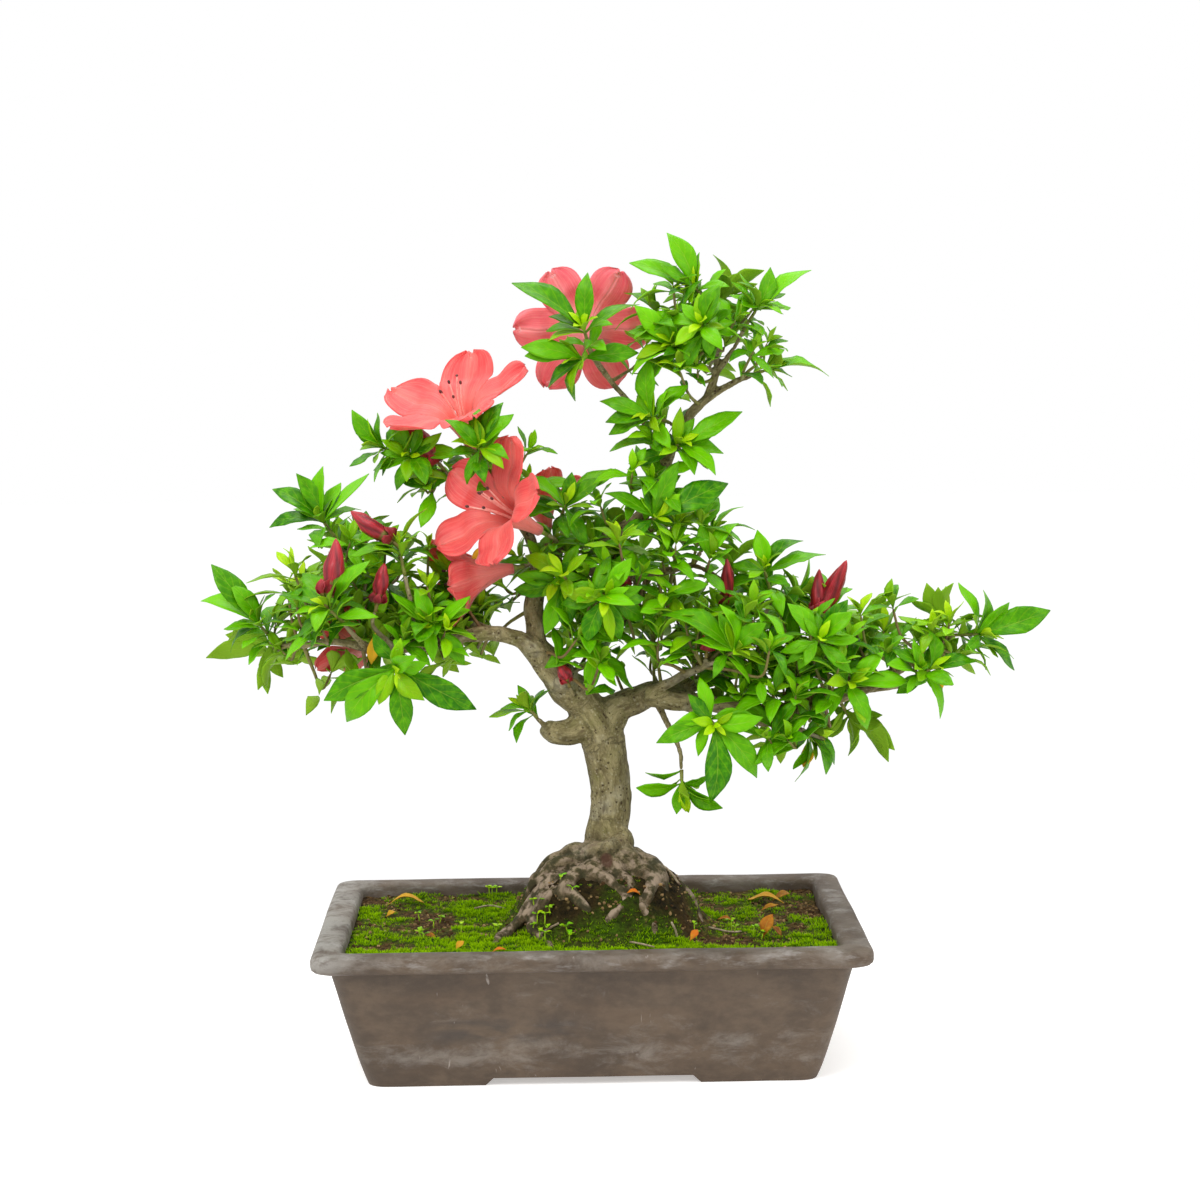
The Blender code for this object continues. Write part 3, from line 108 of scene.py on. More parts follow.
# Wood: the path of each limb, thick end first
TRUNK = (
    (11, 8, 50, 15), (10, 8, 73, 15.5), (9, 8, 91, 12.6), (8, 8, 105, 11.1), (11, 7, 120, 10.6),
    (12, 6, 133, 10.4), (10, 5, 146, 10.8), (8, 3, 159, 11.6), (5, 2, 169, 10.5),
)
STUB = ((-1, 1, 167, 9), (-11, -3, 165, 7), (-18, -5, 165, 5.5), (-22, -6, 169, 4))
BRANCHES = {
    "left_limb": ((8, 3, 160, 11), (-1, 0, 178, 10), (-11, -4, 189, 9), (-18, -8, 199, 8),
                  (-24, -10, 206, 7.4), (-29, -12, 212, 6.4)),
    "left_low": ((-27, -12, 209, 5.6), (-35, -16, 215, 4.6), (-46, -22, 218, 4), (-58, -28, 218, 3.7),
                 (-70, -32, 216, 3.3), (-83, -36, 214, 2.9), (-94, -38, 213, 2.6), (-108, -40, 214, 2.3),
                 (-126, -36, 217, 2), (-143, -28, 214, 1.7)),
    "left_rear": ((-46, -22, 218, 3.4), (-60, -8, 222, 3), (-78, 8, 226, 2.6), (-96, 16, 232, 2.2),
                  (-112, 16, 242, 1.8)),
    "riser": ((-27, -12, 207, 6), (-26, -4, 223, 5.2), (-26, 2, 236, 4.8), (-23, 6, 249, 4.5),
              (-17, 8, 259, 4.2)),
    "peak": ((-23, 6, 247, 3.4), (-29, 16, 264, 3), (-39, 22, 278, 2.7), (-50, 16, 289, 2.3),
             (-62, 4, 295, 2), (-73, 0, 298, 1.7)),
    "crown": ((-21, 8, 254, 4.4), (-10, 10, 260, 4.3), (1, 8, 262, 4.3), (10, 4, 264, 4.3),
              (20, 2, 267, 4.2), (28, 4, 273, 4.1), (33, 6, 281, 4), (36, 6, 289, 3.9),
              (41, 4, 302, 3.6), (44, 2, 310, 3.4), (50, 0, 319, 3.1), (55, 0, 327, 2.8), (64, 2, 335, 2.4)),
    "crown_up": ((62, 2, 333, 2.3), (67, 4, 346, 2), (67, 4, 356, 1.8), (65, 4, 367, 1.6)),
    "crown_east": ((60, 2, 331, 2.1), (71, 0, 339, 1.9), (79, -2, 343, 1.7)),
    "crown_west": ((37, 5, 304, 2.4), (31, 4, 320, 2), (26, 2, 328, 1.8), (18, 0, 337, 1.6),
                   (11, -4, 346, 1.5)),
    "middle": ((-21, 7, 254, 3.4), (-12, 4, 249, 3.1), (-3, 0, 248, 2.9), (10, -4, 246, 2.7),
               (25, -6, 245, 2.5), (41, -4, 247, 2.2), (54, 0, 249, 1.9)),
    "middle_rear": ((-10, 4, 249, 2.3), (4, 18, 246, 2), (18, 32, 244, 1.7)),
    "right_limb": ((7, 3, 160, 10), (14, 4, 174, 8.6), (23, 6, 179, 7.2), (33, 8, 182, 6.4), (46, 9, 183, 5.6)),
    "right_low": ((33, 8, 181, 5.4), (47, 4, 180, 4.9), (66, 2, 177, 4.3), (81, 0, 173, 3.8),
                  (96, -2, 174, 3.4), (111, -2, 178, 3), (126, 0, 183, 2.6), (141, 2, 184, 2.3),
                  (160, 0, 186, 1.7)),
    "right_high": ((40, 9, 182, 4.6), (58, 16, 187, 4), (77, 22, 191, 3.5), (95, 24, 195, 3.1),
                   (113, 22, 193, 2.9), (128, 18, 187, 2.7), (140, 14, 187, 2.4), (150, 10, 190, 2.2),
                   (160, 6, 195, 2), (169, 4, 200, 1.8), (179, 2, 205, 1.6)),
    "right_rear": ((53, 12, 184, 3), (65, 28, 193, 2.6), (76, 38, 206, 2.2), (84, 42, 218, 1.8)),
    "right_front": ((24, 6, 180, 3.4), (34, -6, 187, 2.8), (46, -16, 194, 2.3), (58, -22, 200, 1.9)),
    "right_drop": ((66, 2, 178, 2.4), (80, -4, 170, 2.1), (98, -6, 168, 1.8)),
    "hanging": ((44, 6, 181, 2.6), (52, -8, 177, 2.1), (57, -20, 177, 1.8)),
    "hanging_low": ((34, 8, 181, 2.2), (40, -2, 170, 1.8), (45, -8, 160, 1.4), (47, -12, 153, 1.2)),
}
# Roots: along the soil, with the height of their middle above its surface
ROOTS = (
    ((4, 6, -2, 6), (-9, 4, 3, 5), (-18, 0, 5, 4), (-26, -4, 6, 3.6), (-30, -9, 2, 3.4), (-28, -14, -7, 3)),
    ((0, 2, 0, 6), (-12, -8, 2, 4.6), (-24, -14, 2, 3.8), (-34, -20, 2, 3), (-42, -26, 2.5, 2.6),
     (-45, -32, 2, 2.4), (-48, -42, 0.5, 2.1), (-50, -49, -7, 1.8)),
    ((2, 0, 0, 6), (-10, -12, 1.5, 4.2), (-22, -22, 1.5, 3.2), (-29, -29, 1.5, 2.8), (-25, -38, 1, 2.5),
     (-20, -46, 0, 2.3), (-17, -52, -7, 2)),
    ((5, 2, 0, 6), (-4, -12, 2, 4.8), (3, -18, 1.5, 4.2), (11, -22, 1.5, 4), (18, -26, 1, 3.6),
     (16, -33, 1, 3), (8, -39, 1, 2.6), (4, -45, -6, 2.2)),
    ((12, 4, 0, 7), (22, -4, 1, 5.6), (30, -10, 1, 5), (35, -16, 0, 4.4), (38, -24, -7, 3.4)),
    ((14, 6, 2, 6), (28, 4, 3, 4), (40, 2, 2, 3), (49, -2, 2.5, 2.2), (54, -8, 2, 1.9), (58, -18, -7, 1.6)),
    ((12, 12, 0, 7), (22, 24, 1, 4.6), (32, 34, 1, 3.4), (40, 44, -7, 2.6)),
    ((6, 14, 0, 7), (-4, 28, 1, 4.6), (-16, 38, 1, 3.4), (-26, 48, -7, 2.6)),
    ((14, 0, 0, 6), (18, -16, 0.5, 4), (24, -28, 0.5, 3.4), (31, -37, 0, 2.8), (36, -44, -7, 2.2)),
)

# Knuckled roots on the heap between the long ones, given in the same way
ROOT_KNOBS = (
    ((4, -2, 7, 5), (-7, -4, 8, 4.2), (-17, -5, 8, 3.8), (-24, -7, 5, 3.4), (-23, -11, 2, 3.4),
     (-15, -14, 1, 3.2), (-8, -17, -2, 3)),
    ((-4, -12, 3, 4.5), (-9, -19, 4, 4.4), (-12, -23, 3.5, 4.6), (-13, -27, -2, 3.4)),
    ((20, 0, 4, 7), (29, -6, 4.5, 7), (34, -11, 3.5, 6.4), (36, -15, -2, 5)),
    ((16, 2, 11, 5.5), (21, -8, 10, 4.4), (24, -14, 5, 4), (25, -19, -3, 3.4)),
    ((10, -8, 6, 5.5), (12, -15, 6, 4.8), (17, -20, 3, 4), (25, -24, -2, 3)),
    ((-16, -10, 4, 3.4), (-22, -17, 4.5, 2.8), (-30, -22, 4, 2.5), (-38, -24, 3.5, 2.2), (-45, -28, -1, 1.8)),
    ((-10, -24, 3, 2.6), (-8, -30, 4.5, 2.8), (-3, -34, 4, 2.6), (2, -36, -2, 2)),
    ((9, 1, 16, 12.6), (10, 1, 9, 14), (11, 1, 3, 15.5), (12, 1, -8, 17)),
    ((2, -4, 9, 6), (-8, 2, 10, 4.6), (-17, 4, 9, 4.2), (-25, 2, 5, 3.8), (-27, -4, 1, 3)),
    ((14, -8, 6, 5), (22, -13, 6, 5.4), (31, -15, 3, 5), (37, -20, -2, 4)),
    ((0, -10, 5, 5), (2, -17, 5, 4.6), (8, -22, 4, 4.4), (15, -26, 1, 3.6), (18, -31, -2, 3)),
    ((28, -16, 3, 3), (31, -22, 4.5, 3), (29, -28, 4, 2.6), (24, -31, -2, 2)),
    ((20, 14, 6, 6), (30, 20, 6, 5), (38, 22, 3, 4), (44, 26, -3, 3)),
    ((-2, 12, 6, 6), (-14, 16, 6, 4.6), (-24, 20, 4, 3.6), (-32, 26, -3, 3)),
    ((6, 18, 6, 6), (4, 28, 5, 4.6), (8, 36, 2, 3.4), (12, 42, -4, 3)),
)

# Thin branches that run low under the leaves at the right
LOW_RUNS = {
    "low_run": ((30, -2, 184, 6), (44, -5, 181, 5), (60, -6, 180, 4.2), (82, -8, 177, 3.6),
                (103, -8, 173.5, 3.1), (125, -6, 179, 2.6), (146, -4, 187, 2.1), (166, -2, 198, 1.6)),
    "low_fork": ((80, -8, 177, 2.8), (94, -12, 172, 2.2), (108, -14, 166, 1.7), (120, -14, 161, 1.2)),
}

# Leafy shoots: branch and station, then whorls of (middle, seen tips, more leaves round the back)
SHOOTS = {
    "shoot_crown_top": ("crown_up", 3, (
        ((56, 0, 389), ((-14, 28), (-33, 15), (-19, 13), (2, 18)), 1),
        ((72, 18, 384), ((-3, 22), (21, 14), (10, 13)), 1))),
    "shoot_crown_right": ("crown_up", 1, (((87, -6, 378), ((27, 21), (8, 22), (16, 9), (-13, 8)), 1),)),
    "shoot_crown_left": ("crown_up", 1, (
        ((45, -14, 360), ((-20, 21), (-25, 8), (-6, 20), (-18, -5), (6, -11)), 1),)),
    "shoot_crown_front": ("crown_up", 2, (((58, -26, 370), ((-10, 11), (9, 12), (16, -4), (4, -15)), 1),)),
    "shoot_crown_far": ("crown_east", 2, (
        ((92, 0, 347), ((-8, 19), (4, 22), (18, 7), (33, -2), (12, -3)), 0),)),
    "shoot_neck_left": ("crown", 10, (
        ((33, -16, 325), ((-26, 9), (-24, -1), (-23, -8), (-2, 29), (17, 16)), 0),)),
    "shoot_neck_right": ("crown", 8, (((47, -12, 311), ((32, 17), (23, -4), (9, 14)), 1),)),
    "shoot_bloom_top": ("crown_west", 4, (
        ((0, -22, 369), ((-35, 24), (1, 29), (27, 14), (-17, 8)), 0),
        ((-2, -16, 354), ((-30, 6), (-29, 1), (-19, -14), (28, 3)), 0))),
    "shoot_peak": ("peak", 2, (
        ((-52, -40, 312), ((-2, 17), (11, 23), (17, 17), (-15, 15), (-4, -12)), 0),)),
    "shoot_peak_left": ("peak", 5, (
        ((-101, -12, 311), ((-16, 19), (-15, 13), (-10, 5), (-2, 18), (9, 16)), 1),
        ((-87, -16, 307), ((6, 17), (13, 9), (-19, -6)), 1))),
    "shoot_left_top": ("left_rear", 4, (
        ((-133, 4, 274), ((-1, 28), (-14, 25), (-26, 19), (24, 24), (-28, 0)), 1),)),
    "shoot_left_middle": ("left_low", 5, (
        ((-92, -34, 262), ((-6, 27), (14, 23), (-25, -1), (19, -6)), 1),)),
    "shoot_left_far": ("left_low", 9, (
        ((-165, -8, 223), ((-24, 31), (-30, 15), (-19, 0), (-16, -13), (-14, 22)), 0),
        ((-163, 14, 206), ((-32, -3), (7, -14), (-22, 8)), 1))),
    "shoot_left_front": ("left_low", 7, (
        ((-126, -56, 236), ((-30, 6), (-10, -19), (19, 25), (-18, 19)), 1),)),
    "shoot_left_bottom": ("left_low", 6, (
        ((-94, -54, 205), ((-25, -27), (39, -22), (4, -34), (-35, -16)), 1),)),
    "shoot_left_inner": ("left_low", 4, (((-76, -44, 226), ((15, -20), (-9, 19), (17, 9)), 1),)),
    "shoot_left_back": ("left_rear", 4, (
        ((-122, 42, 250), ((-23, 11), (-7, 24), (22, 20), (-24, -13)), 1),)),
    "shoot_left_rear": ("left_rear", 2, (
        ((-100, 38, 217), ((-23, 12), (-19, -18), (24, 10), (28, -13)), 1),)),
    "shoot_centre_peak": ("riser", 4, (
        ((-10, -6, 281), ((-20, 16), (27, 18), (19, 16), (-22, -5), (4, 18)), 0),)),
    "shoot_centre_right": ("crown", 4, (((35, -20, 275), ((-24, 14), (-6, 20), (13, 29), (37, 17)), 1),)),
    "shoot_right_high": ("middle", 6, (((64, 8, 264), ((16, 16), (23, 5), (2, 19), (-16, 4)), 1),)),
    "shoot_centre_low": ("middle", 1, (((-13, -20, 243), ((-8, -26), (2, -19), (-22, 3)), 1),)),
    "shoot_centre_front": ("middle", 3, (
        ((9, -40, 237), ((13, 20), (20, -1), (7, -22), (-10, -22), (-15, 7)), 0),)),
    "shoot_heart": ("left_limb", 2, (((4, -16, 211), ((-3, -24), (19, -22), (-24, -8)), 1),)),
    "shoot_centre_rear": ("middle_rear", 2, (
        ((29, 48, 250), ((-21, 11), (5, 21), (26, 0), (-16, -19)), 1),)),
    "shoot_far_tip": ("right_high", 10, (
        ((200, 0, 212), ((-11, 26), (6, 22), (18, 16), (36, 13), (20, -19)), 0),
        ((183, 14, 216), ((-9, 22), (4, 22), (-18, 13)), 0))),
    "shoot_far_low": ("right_low", 8, (((173, -12, 196), ((24, 5), (-12, 12), (-15, -11)), 1),)),
    "shoot_right_back": ("right_high", 6, (
        ((147, 30, 203), ((22, 28), (28, 12), (10, 30), (-12, 18)), 1),)),
    "shoot_right_front": ("right_high", 4, (
        ((115, -30, 214), ((-16, 19), (15, 20), (20, 0), (-10, -15)), 1),)),
    "shoot_right_middle": ("right_low", 6, (((131, -22, 191), ((31, 1), (18, 16), (-13, 13)), 1),)),
    "shoot_inner_front": ("right_front", 3, (
        ((73, -38, 210), ((-34, 21), (-7, 20), (17, 15), (-20, 6)), 1),)),
    "shoot_right_rear": ("right_rear", 3, (
        ((92, 52, 231), ((-21, 16), (0, 24), (21, 10), (-11, -20)), 1),)),
    "shoot_hanging": ("hanging", 2, (
        ((62, -42, 174), ((-2, -39), (22, -27), (-28, -9), (23, 1), (-12, 15)), 0),)),
    "shoot_hanging_low": ("hanging_low", 3, (
        ((47, -16, 139), ((-23, -3), (20, -14), (-3, -17), (9, 3)), 0),)),
    "shoot_low_right": ("right_drop", 2, (
        ((113, -10, 163), ((-22, -7), (-8, -18), (16, -16), (10, 12)), 1),)),
    "shoot_low_far": ("right_low", 6, (((135, 14, 168), ((24, -18), (21, -24), (18, -1), (1, -21)), 0),)),
    "shoot_right_peak": ("right_high", 2, (
        ((90, -4, 247), ((19, 16), (31, 9), (-4, 22), (-17, 3)), 0),
        ((108, 10, 232), ((8, 21), (20, 5)), 1))),
    "shoot_stub": ("stub", 3, (((-30, -8, 178), ((-11, 1), (-6, 12), (8, 11), (-8, -8)), 0),)),
}
SHOOT_LENGTH = 13.0
SHOOT_KNEE = 3.0
TWIG_RADIUS = 1.35
TWIG_LIFT = 0.12
GAP = 0.3

# Where the source looks for the tip of a leaf
LEAF_LONGEST, LEAF_SHORTEST = 45.0, 15.0
BACK_LEAF_LENGTH = (20.0, 29.0)
SPREAD_DEGREES = (42.0, 68.0)
LEAF_TRIES = 24
TIP_MATCH = 0.05

# Leaves
LEAF_CELLS = (6, 10)
SMALL_LEAF_CELLS = (4, 6)
LEAF_WIDTH = 0.36
LEAF_THICK = 0.32
LEAF_ARCH = 0.07
EDGE_WAVES, CURL_START, TWIST_START, STALK_END = 17.0, 0.72, 0.4, 0.09
LEAF_OUTLINE = ((0.0, 0.06), (0.08, 0.09), (0.2, 0.4), (0.34, 0.74), (0.48, 0.95), (0.6, 1.0), (0.72, 0.88),
                (0.83, 0.62), (0.92, 0.3), (1.0, 0.0))

# Blooms: branch and station, foot, middle of the mouth, turn, flare, petals and their length
BLOOMS = {
    "bloom_top": ("crown_west", 4, (3, -3, 360), (1, 17, 367), 0, 80, 6, 29),
    "bloom_peak": ("peak", 3, (-55, 4, 305), (-62, -5, 325), 36, 62, 5, 36),
    "bloom_centre": ("riser", 4, (-20, -14, 267), (-40, -34, 280), 10, 62, 5, 31),
    "bloom_low": ("riser", 2, (-32, -5, 250), (-52, -10, 247), 0, 35, 5, 28),
    "bloom_behind": ("peak", 0, (-18, 21, 262), (-22, 28, 277), 12, 50, 5, 20),
    "bloom_left": ("left_low", 7, (-106, -22, 210), (-116, -10, 213), 30, 50, 5, 17),
}
STALK = 5.0
TUBE_RADIUS, MOUTH_RADIUS = 2.6, 7.5
PETAL_CELLS = (12, 26)
PETAL_THICK = 0.35
PETAL_HALF_WIDTH = 0.40
PETAL_WIDEST = 0.60
TUBE_SHARE = 0.3

# Buds: carrier and station or whorl, foot, tips and thickness
BUDS = {
    "bud_left_high": ("shoot_left_middle", 0, None, (((-116, -30, 281), 4.2),)),
    "bud_left_far": ("shoot_left_front", 0, None, (((-122, -46, 269), 4.8),)),
    "bud_left_low": ("left_low", 6, (-104, -40, 232), (((-99, -40, 256), 3.6),)),
    "bud_peak": ("peak", 4, (-70, -8, 299), (((-89, -10, 322), 5.6),)),
    "bud_centre": ("middle", 4, (22, -15, 238), (((15, -22, 249), 3.2),)),
    "bud_middle": ("right_high", 2, (71, 2, 224), (((71, -6, 253), 3.4),)),
    "buds_right": ("right_high", 4, (116, 4, 216), (((132, -2, 251), 4.4), ((119, 6, 246), 3.6))),
    "bud_inner": ("right_front", 3, (59, -25, 205), (((63, -25, 224), 3.2),)),
    "bud_heart": ("left_limb", 2, (-9, -16, 190), (((-14, -20, 203), 3.4),)),
}
WITH_STAMENS = ("bloom_peak", "bloom_centre", "bloom_low", "bloom_behind", "bloom_top")


def placed(point):
    """A point of the lists, in the row's frame in metres."""
    return (Vector(point[:3]) - OUTLINE_MIDDLE) * MM


# Pieces


def new_object(name, data):
    made = bpy.data.objects.new(name, data)
    bpy.context.scene.collection.objects.link(made)
    return made


def new_mesh(bm, name):
    """A mesh made of a bmesh, which is used up."""
    mesh = bpy.data.meshes.new(name)
    bm.to_mesh(mesh)
    bm.free()
    return mesh


def evaluated_mesh(piece):
    """What the modifiers of an object make of it."""
    return bpy.data.meshes.new_from_object(piece.evaluated_get(bpy.context.evaluated_depsgraph_get()))


def settle(made, name, finish, slot, *nodes, smooth=True):
    """Makes a piece of a bmesh or a mesh, lets it ride and hides the solids that it stands for."""
    mesh = new_mesh(made, name) if isinstance(made, bmesh.types.BMesh) else made
    piece = new_object(name, mesh)
    mesh.materials.clear()
    mesh.materials.append(finish)
    if smooth:
        mesh.shade_smooth()
    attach(piece, BODY)
    if nodes:
        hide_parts(*nodes)


# Finishes


class Tree:
    """A node tree with short ways to add what these finishes need."""

    def __init__(self, tree):
        self.tree = tree

    def node(self, kind, **settings):
        made = self.tree.nodes.new("ShaderNode" + kind)
        for key, value in settings.items():
            setattr(made, key, value)
        return made

    def feed(self, socket, value):
        if isinstance(value, bpy.types.NodeSocket):
            self.tree.links.new(value, socket)
        else:
            socket.default_value = value

    def feed_all(self, sockets, values):
        for key, value in values.items():
            self.feed(sockets[key], value)

    def fed(self, kind, output, values, **settings):
        """Adds a node, feeds its named inputs and gives one of its outputs."""
        made = self.node(kind, **settings)
        self.feed_all(made.inputs, values)
        return made.outputs[output]

    def coordinates(self):
        return self.node("TexCoord").outputs["Object"]

    def stretched(self, vector, *scale):
        return self.fed("Mapping", "Vector", {"Vector": vector, "Scale": scale})

    def attribute(self, name, output="Color"):
        return self.node("Attribute", attribute_name=name).outputs[output]

    def split(self, vector):
        parts = self.node("SeparateXYZ")
        self.feed(parts.inputs["Vector"], vector)
        return parts.outputs

    def noise(self, vector, scale, detail=4.0, rough=0.55, distortion=0.0):
        return self.fed("TexNoise", "Fac", {
            "Vector": vector, "Scale": scale, "Detail": detail, "Roughness": rough, "Distortion": distortion})

    def cells(self, vector, scale):
        made = self.node("TexVoronoi")
        self.feed_all(made.inputs, {"Vector": vector, "Scale": scale})
        return made.outputs

    def math(self, operation, *values):
        made = self.node("Math", operation=operation)
        for socket, value in zip(made.inputs, values):
            self.feed(socket, value)
        return made.outputs["Value"]

    def minus(self, first, second):
        return self.math("SUBTRACT", first, second)

    def times(self, first, *others):
        for other in others:
            first = self.math("MULTIPLY", first, other)
        return first

    def summed(self, *parts):
        """Adds values up, each times its own weight."""
        total = 0.0
        for value, weight in parts:
            total = self.math("MULTIPLY_ADD", value, weight, total)
        return total

    def distance(self, across, along):
        return self.math("SQRT", self.summed((across, across), (along, along)))

    def span(self, value, low, high, out_low=0.0, out_high=1.0):
        made = self.node("MapRange", interpolation_type="SMOOTHSTEP")
        for socket, item in zip(made.inputs, (value, low, high, out_low, out_high)):
            self.feed(socket, item)
        return made.outputs["Result"]

    def blend(self, colour, *layers):
        """Lays colours over the first one, each with its own share."""
        for share, over in layers:
            colour = self.fed("Mix", "Result", {"Factor": share, "A": colour, "B": over}, data_type="RGBA")
        return colour

    def bump(self, height, strength, distance):
        return self.fed("Bump", "Normal", {"Strength": strength, "Distance": distance, "Height": height})

    def use(self, group, **values):
        made = self.node("Group", node_tree=group)
        self.feed_all(made.inputs, values)
        return made.outputs


def rgb(*screen):
    """A colour given as it looks on a screen, from 0 to 255, as the shader's linear values."""
    linear = [((c / 255 + 0.055) / 1.055) ** 2.4 if c > 10 else c / 255 / 12.92 for c in screen]
    return (*linear, 1.0)


def effect(name, inputs, outputs):
    """An empty node group with named sockets, and its tree and the sockets inside it."""
    group = bpy.data.node_groups.new(name, "ShaderNodeTree")
    for label, kind in inputs:
        group.interface.new_socket(label, in_out="INPUT", socket_type="NodeSocket" + kind)
    for label, kind in outputs:
        group.interface.new_socket(label, in_out="OUTPUT", socket_type="NodeSocket" + kind)
    given, out = group.nodes.new("NodeGroupInput"), group.nodes.new("NodeGroupOutput")
    return group, Tree(group), given.outputs, out.inputs


def mottle_effect():
    """Cloudy colour between two tones, broken up by finer grain."""
    group, tree, given, out = effect(
        "mottle", (("Vector", "Vector"), ("Scale", "Float"), ("Dark", "Color"), ("Pale", "Color")),
        (("Color", "Color"), ("Height", "Float")))
    broad = tree.noise(given["Vector"], given["Scale"], 5.0, 0.6, 0.3)
    fine = tree.noise(given["Vector"], tree.times(given["Scale"], 6.0), 3.0, 0.6)
    height = tree.summed((broad, 0.65), (fine, 0.35))
    colour = tree.blend(given["Dark"], (tree.span(height, 0.34, 0.66), given["Pale"]))
    tree.feed_all(out, {"Color": colour, "Height": height})
    return group


def specks_effect():
    """Scattered round specks, more or less of them."""
    group, tree, given, out = effect(
        "specks", (("Vector", "Vector"), ("Scale", "Float"), ("Size", "Float")), (("Mask", "Float"),))
    cells = tree.cells(given["Vector"], given["Scale"])
    size = tree.times(given["Size"], tree.split(cells["Color"])[0])
    tree.feed(out["Mask"], tree.minus(1.0, tree.span(cells["Distance"], 0.0, size)))
    return group


def veins_effect():
    """A midrib along a blade's map and side veins that leave it towards the tip."""
    group, tree, given, out = effect(
        "veins", (("Map", "Vector"), ("Pairs", "Float"), ("Slant", "Float"), ("Rib width", "Float")),
        (("Rib", "Float"), ("Side", "Float")))
    across, along, _ = tree.split(given["Map"])
    off = tree.math("ABSOLUTE", tree.minus(across, 0.5))
    narrow = tree.times(given["Rib width"], tree.minus(1.25, along))
    phase = tree.minus(along, tree.times(off, given["Slant"]))
    wave = tree.math("SINE", tree.times(phase, given["Pairs"], 2 * math.pi))
    rib = tree.minus(1.0, tree.span(off, 0.0, narrow))
    tree.feed_all(out, {"Rib": rib, "Side": tree.span(wave, 0.72, 1.0)})
    return group


MOTTLE, SPECKS, VEINS = mottle_effect(), specks_effect(), veins_effect()


def new_finish(name):
    finish = bpy.data.materials.new(name)
    finish.use_nodes = True
    return finish, Tree(finish.node_tree), finish.node_tree.nodes["Principled BSDF"].inputs


def leaf_finish(name, deep, fresh, young, under, gloss=0.36):
    """A glossy blade: tone, side and age come with each leaf, midrib and veins from its map."""
    finish, tree, shader = new_finish(name)
    tone, side, age = tree.split(tree.attribute("look"))
    blade = tree.attribute("blade", "Vector")
    veins = tree.use(VEINS, Map=blade, Pairs=6.0, Slant=0.55, **{"Rib width": 0.045})
    cloud = tree.noise(tree.coordinates(), 260.0)
    green = tree.blend(
        deep, (tone, fresh), (age, young),
        (tree.span(cloud, 0.35, 0.75, 0.0, 0.45), fresh),
        (tree.times(veins["Side"], 0.09), young),
        (tree.times(side, 0.75), under),
        (tree.times(veins["Rib"], 0.32), rgb(160, 190, 60)))
    relief = tree.summed((veins["Rib"], -1.0), (veins["Side"], -0.35), (cloud, 0.5))
    tree.feed_all(shader, {
        "Base Color": green, "Roughness": tree.span(side, 0.0, 1.0, gloss, 0.62),
        "Normal": tree.bump(relief, 0.4, 0.0004), "Specular IOR Level": 0.32,
        "Specular Tint": (0.75, 1.0, 0.4, 1.0), "Subsurface Weight": 0.1,
        "Subsurface Radius": (0.35, 0.6, 0.05), "Subsurface Scale": 0.0015})
    return finish


def petal_finish(name, deep, main, pale, rib):
    """A soft petal: pale at its middle and towards the throat, with fine veins that run to its edge."""
    finish, tree, shader = new_finish(name)
    blade = tree.attribute("blade", "Vector")
    across, along, _ = tree.split(blade)
    off = tree.math("ABSOLUTE", tree.minus(across, 0.5))
    streaks = tree.noise(tree.stretched(blade, 26.0, 1.6, 1.0), 1.0, 5.0, 0.6)
    cloud = tree.noise(tree.coordinates(), 90.0)
    colour = tree.blend(
        deep, (tree.span(cloud, 0.3, 0.75), main),
        (tree.span(streaks, 0.42, 0.72, 0.0, 0.35), pale),
        (tree.span(off, 0.0, 0.17, 0.55, 0.0), rib),
        (tree.span(along, 0.3, 0.62, 0.35, 0.0), pale))
    relief = tree.summed((tree.span(off, 0.0, 0.05, 1.0, 0.0), -1.2), (streaks, 1.0))
    tree.feed_all(shader, {
        "Base Color": colour, "Roughness": 0.48, "Normal": tree.bump(relief, 0.45, 0.0008),
        "Subsurface Weight": 0.3, "Subsurface Radius": (1.0, 0.35, 0.3), "Subsurface Scale": 0.002,
        "Sheen Weight": 0.15})
    return finish


# The round scar low on the trunk: across and up, in metres
SCAR = (-0.0114, 0.101)


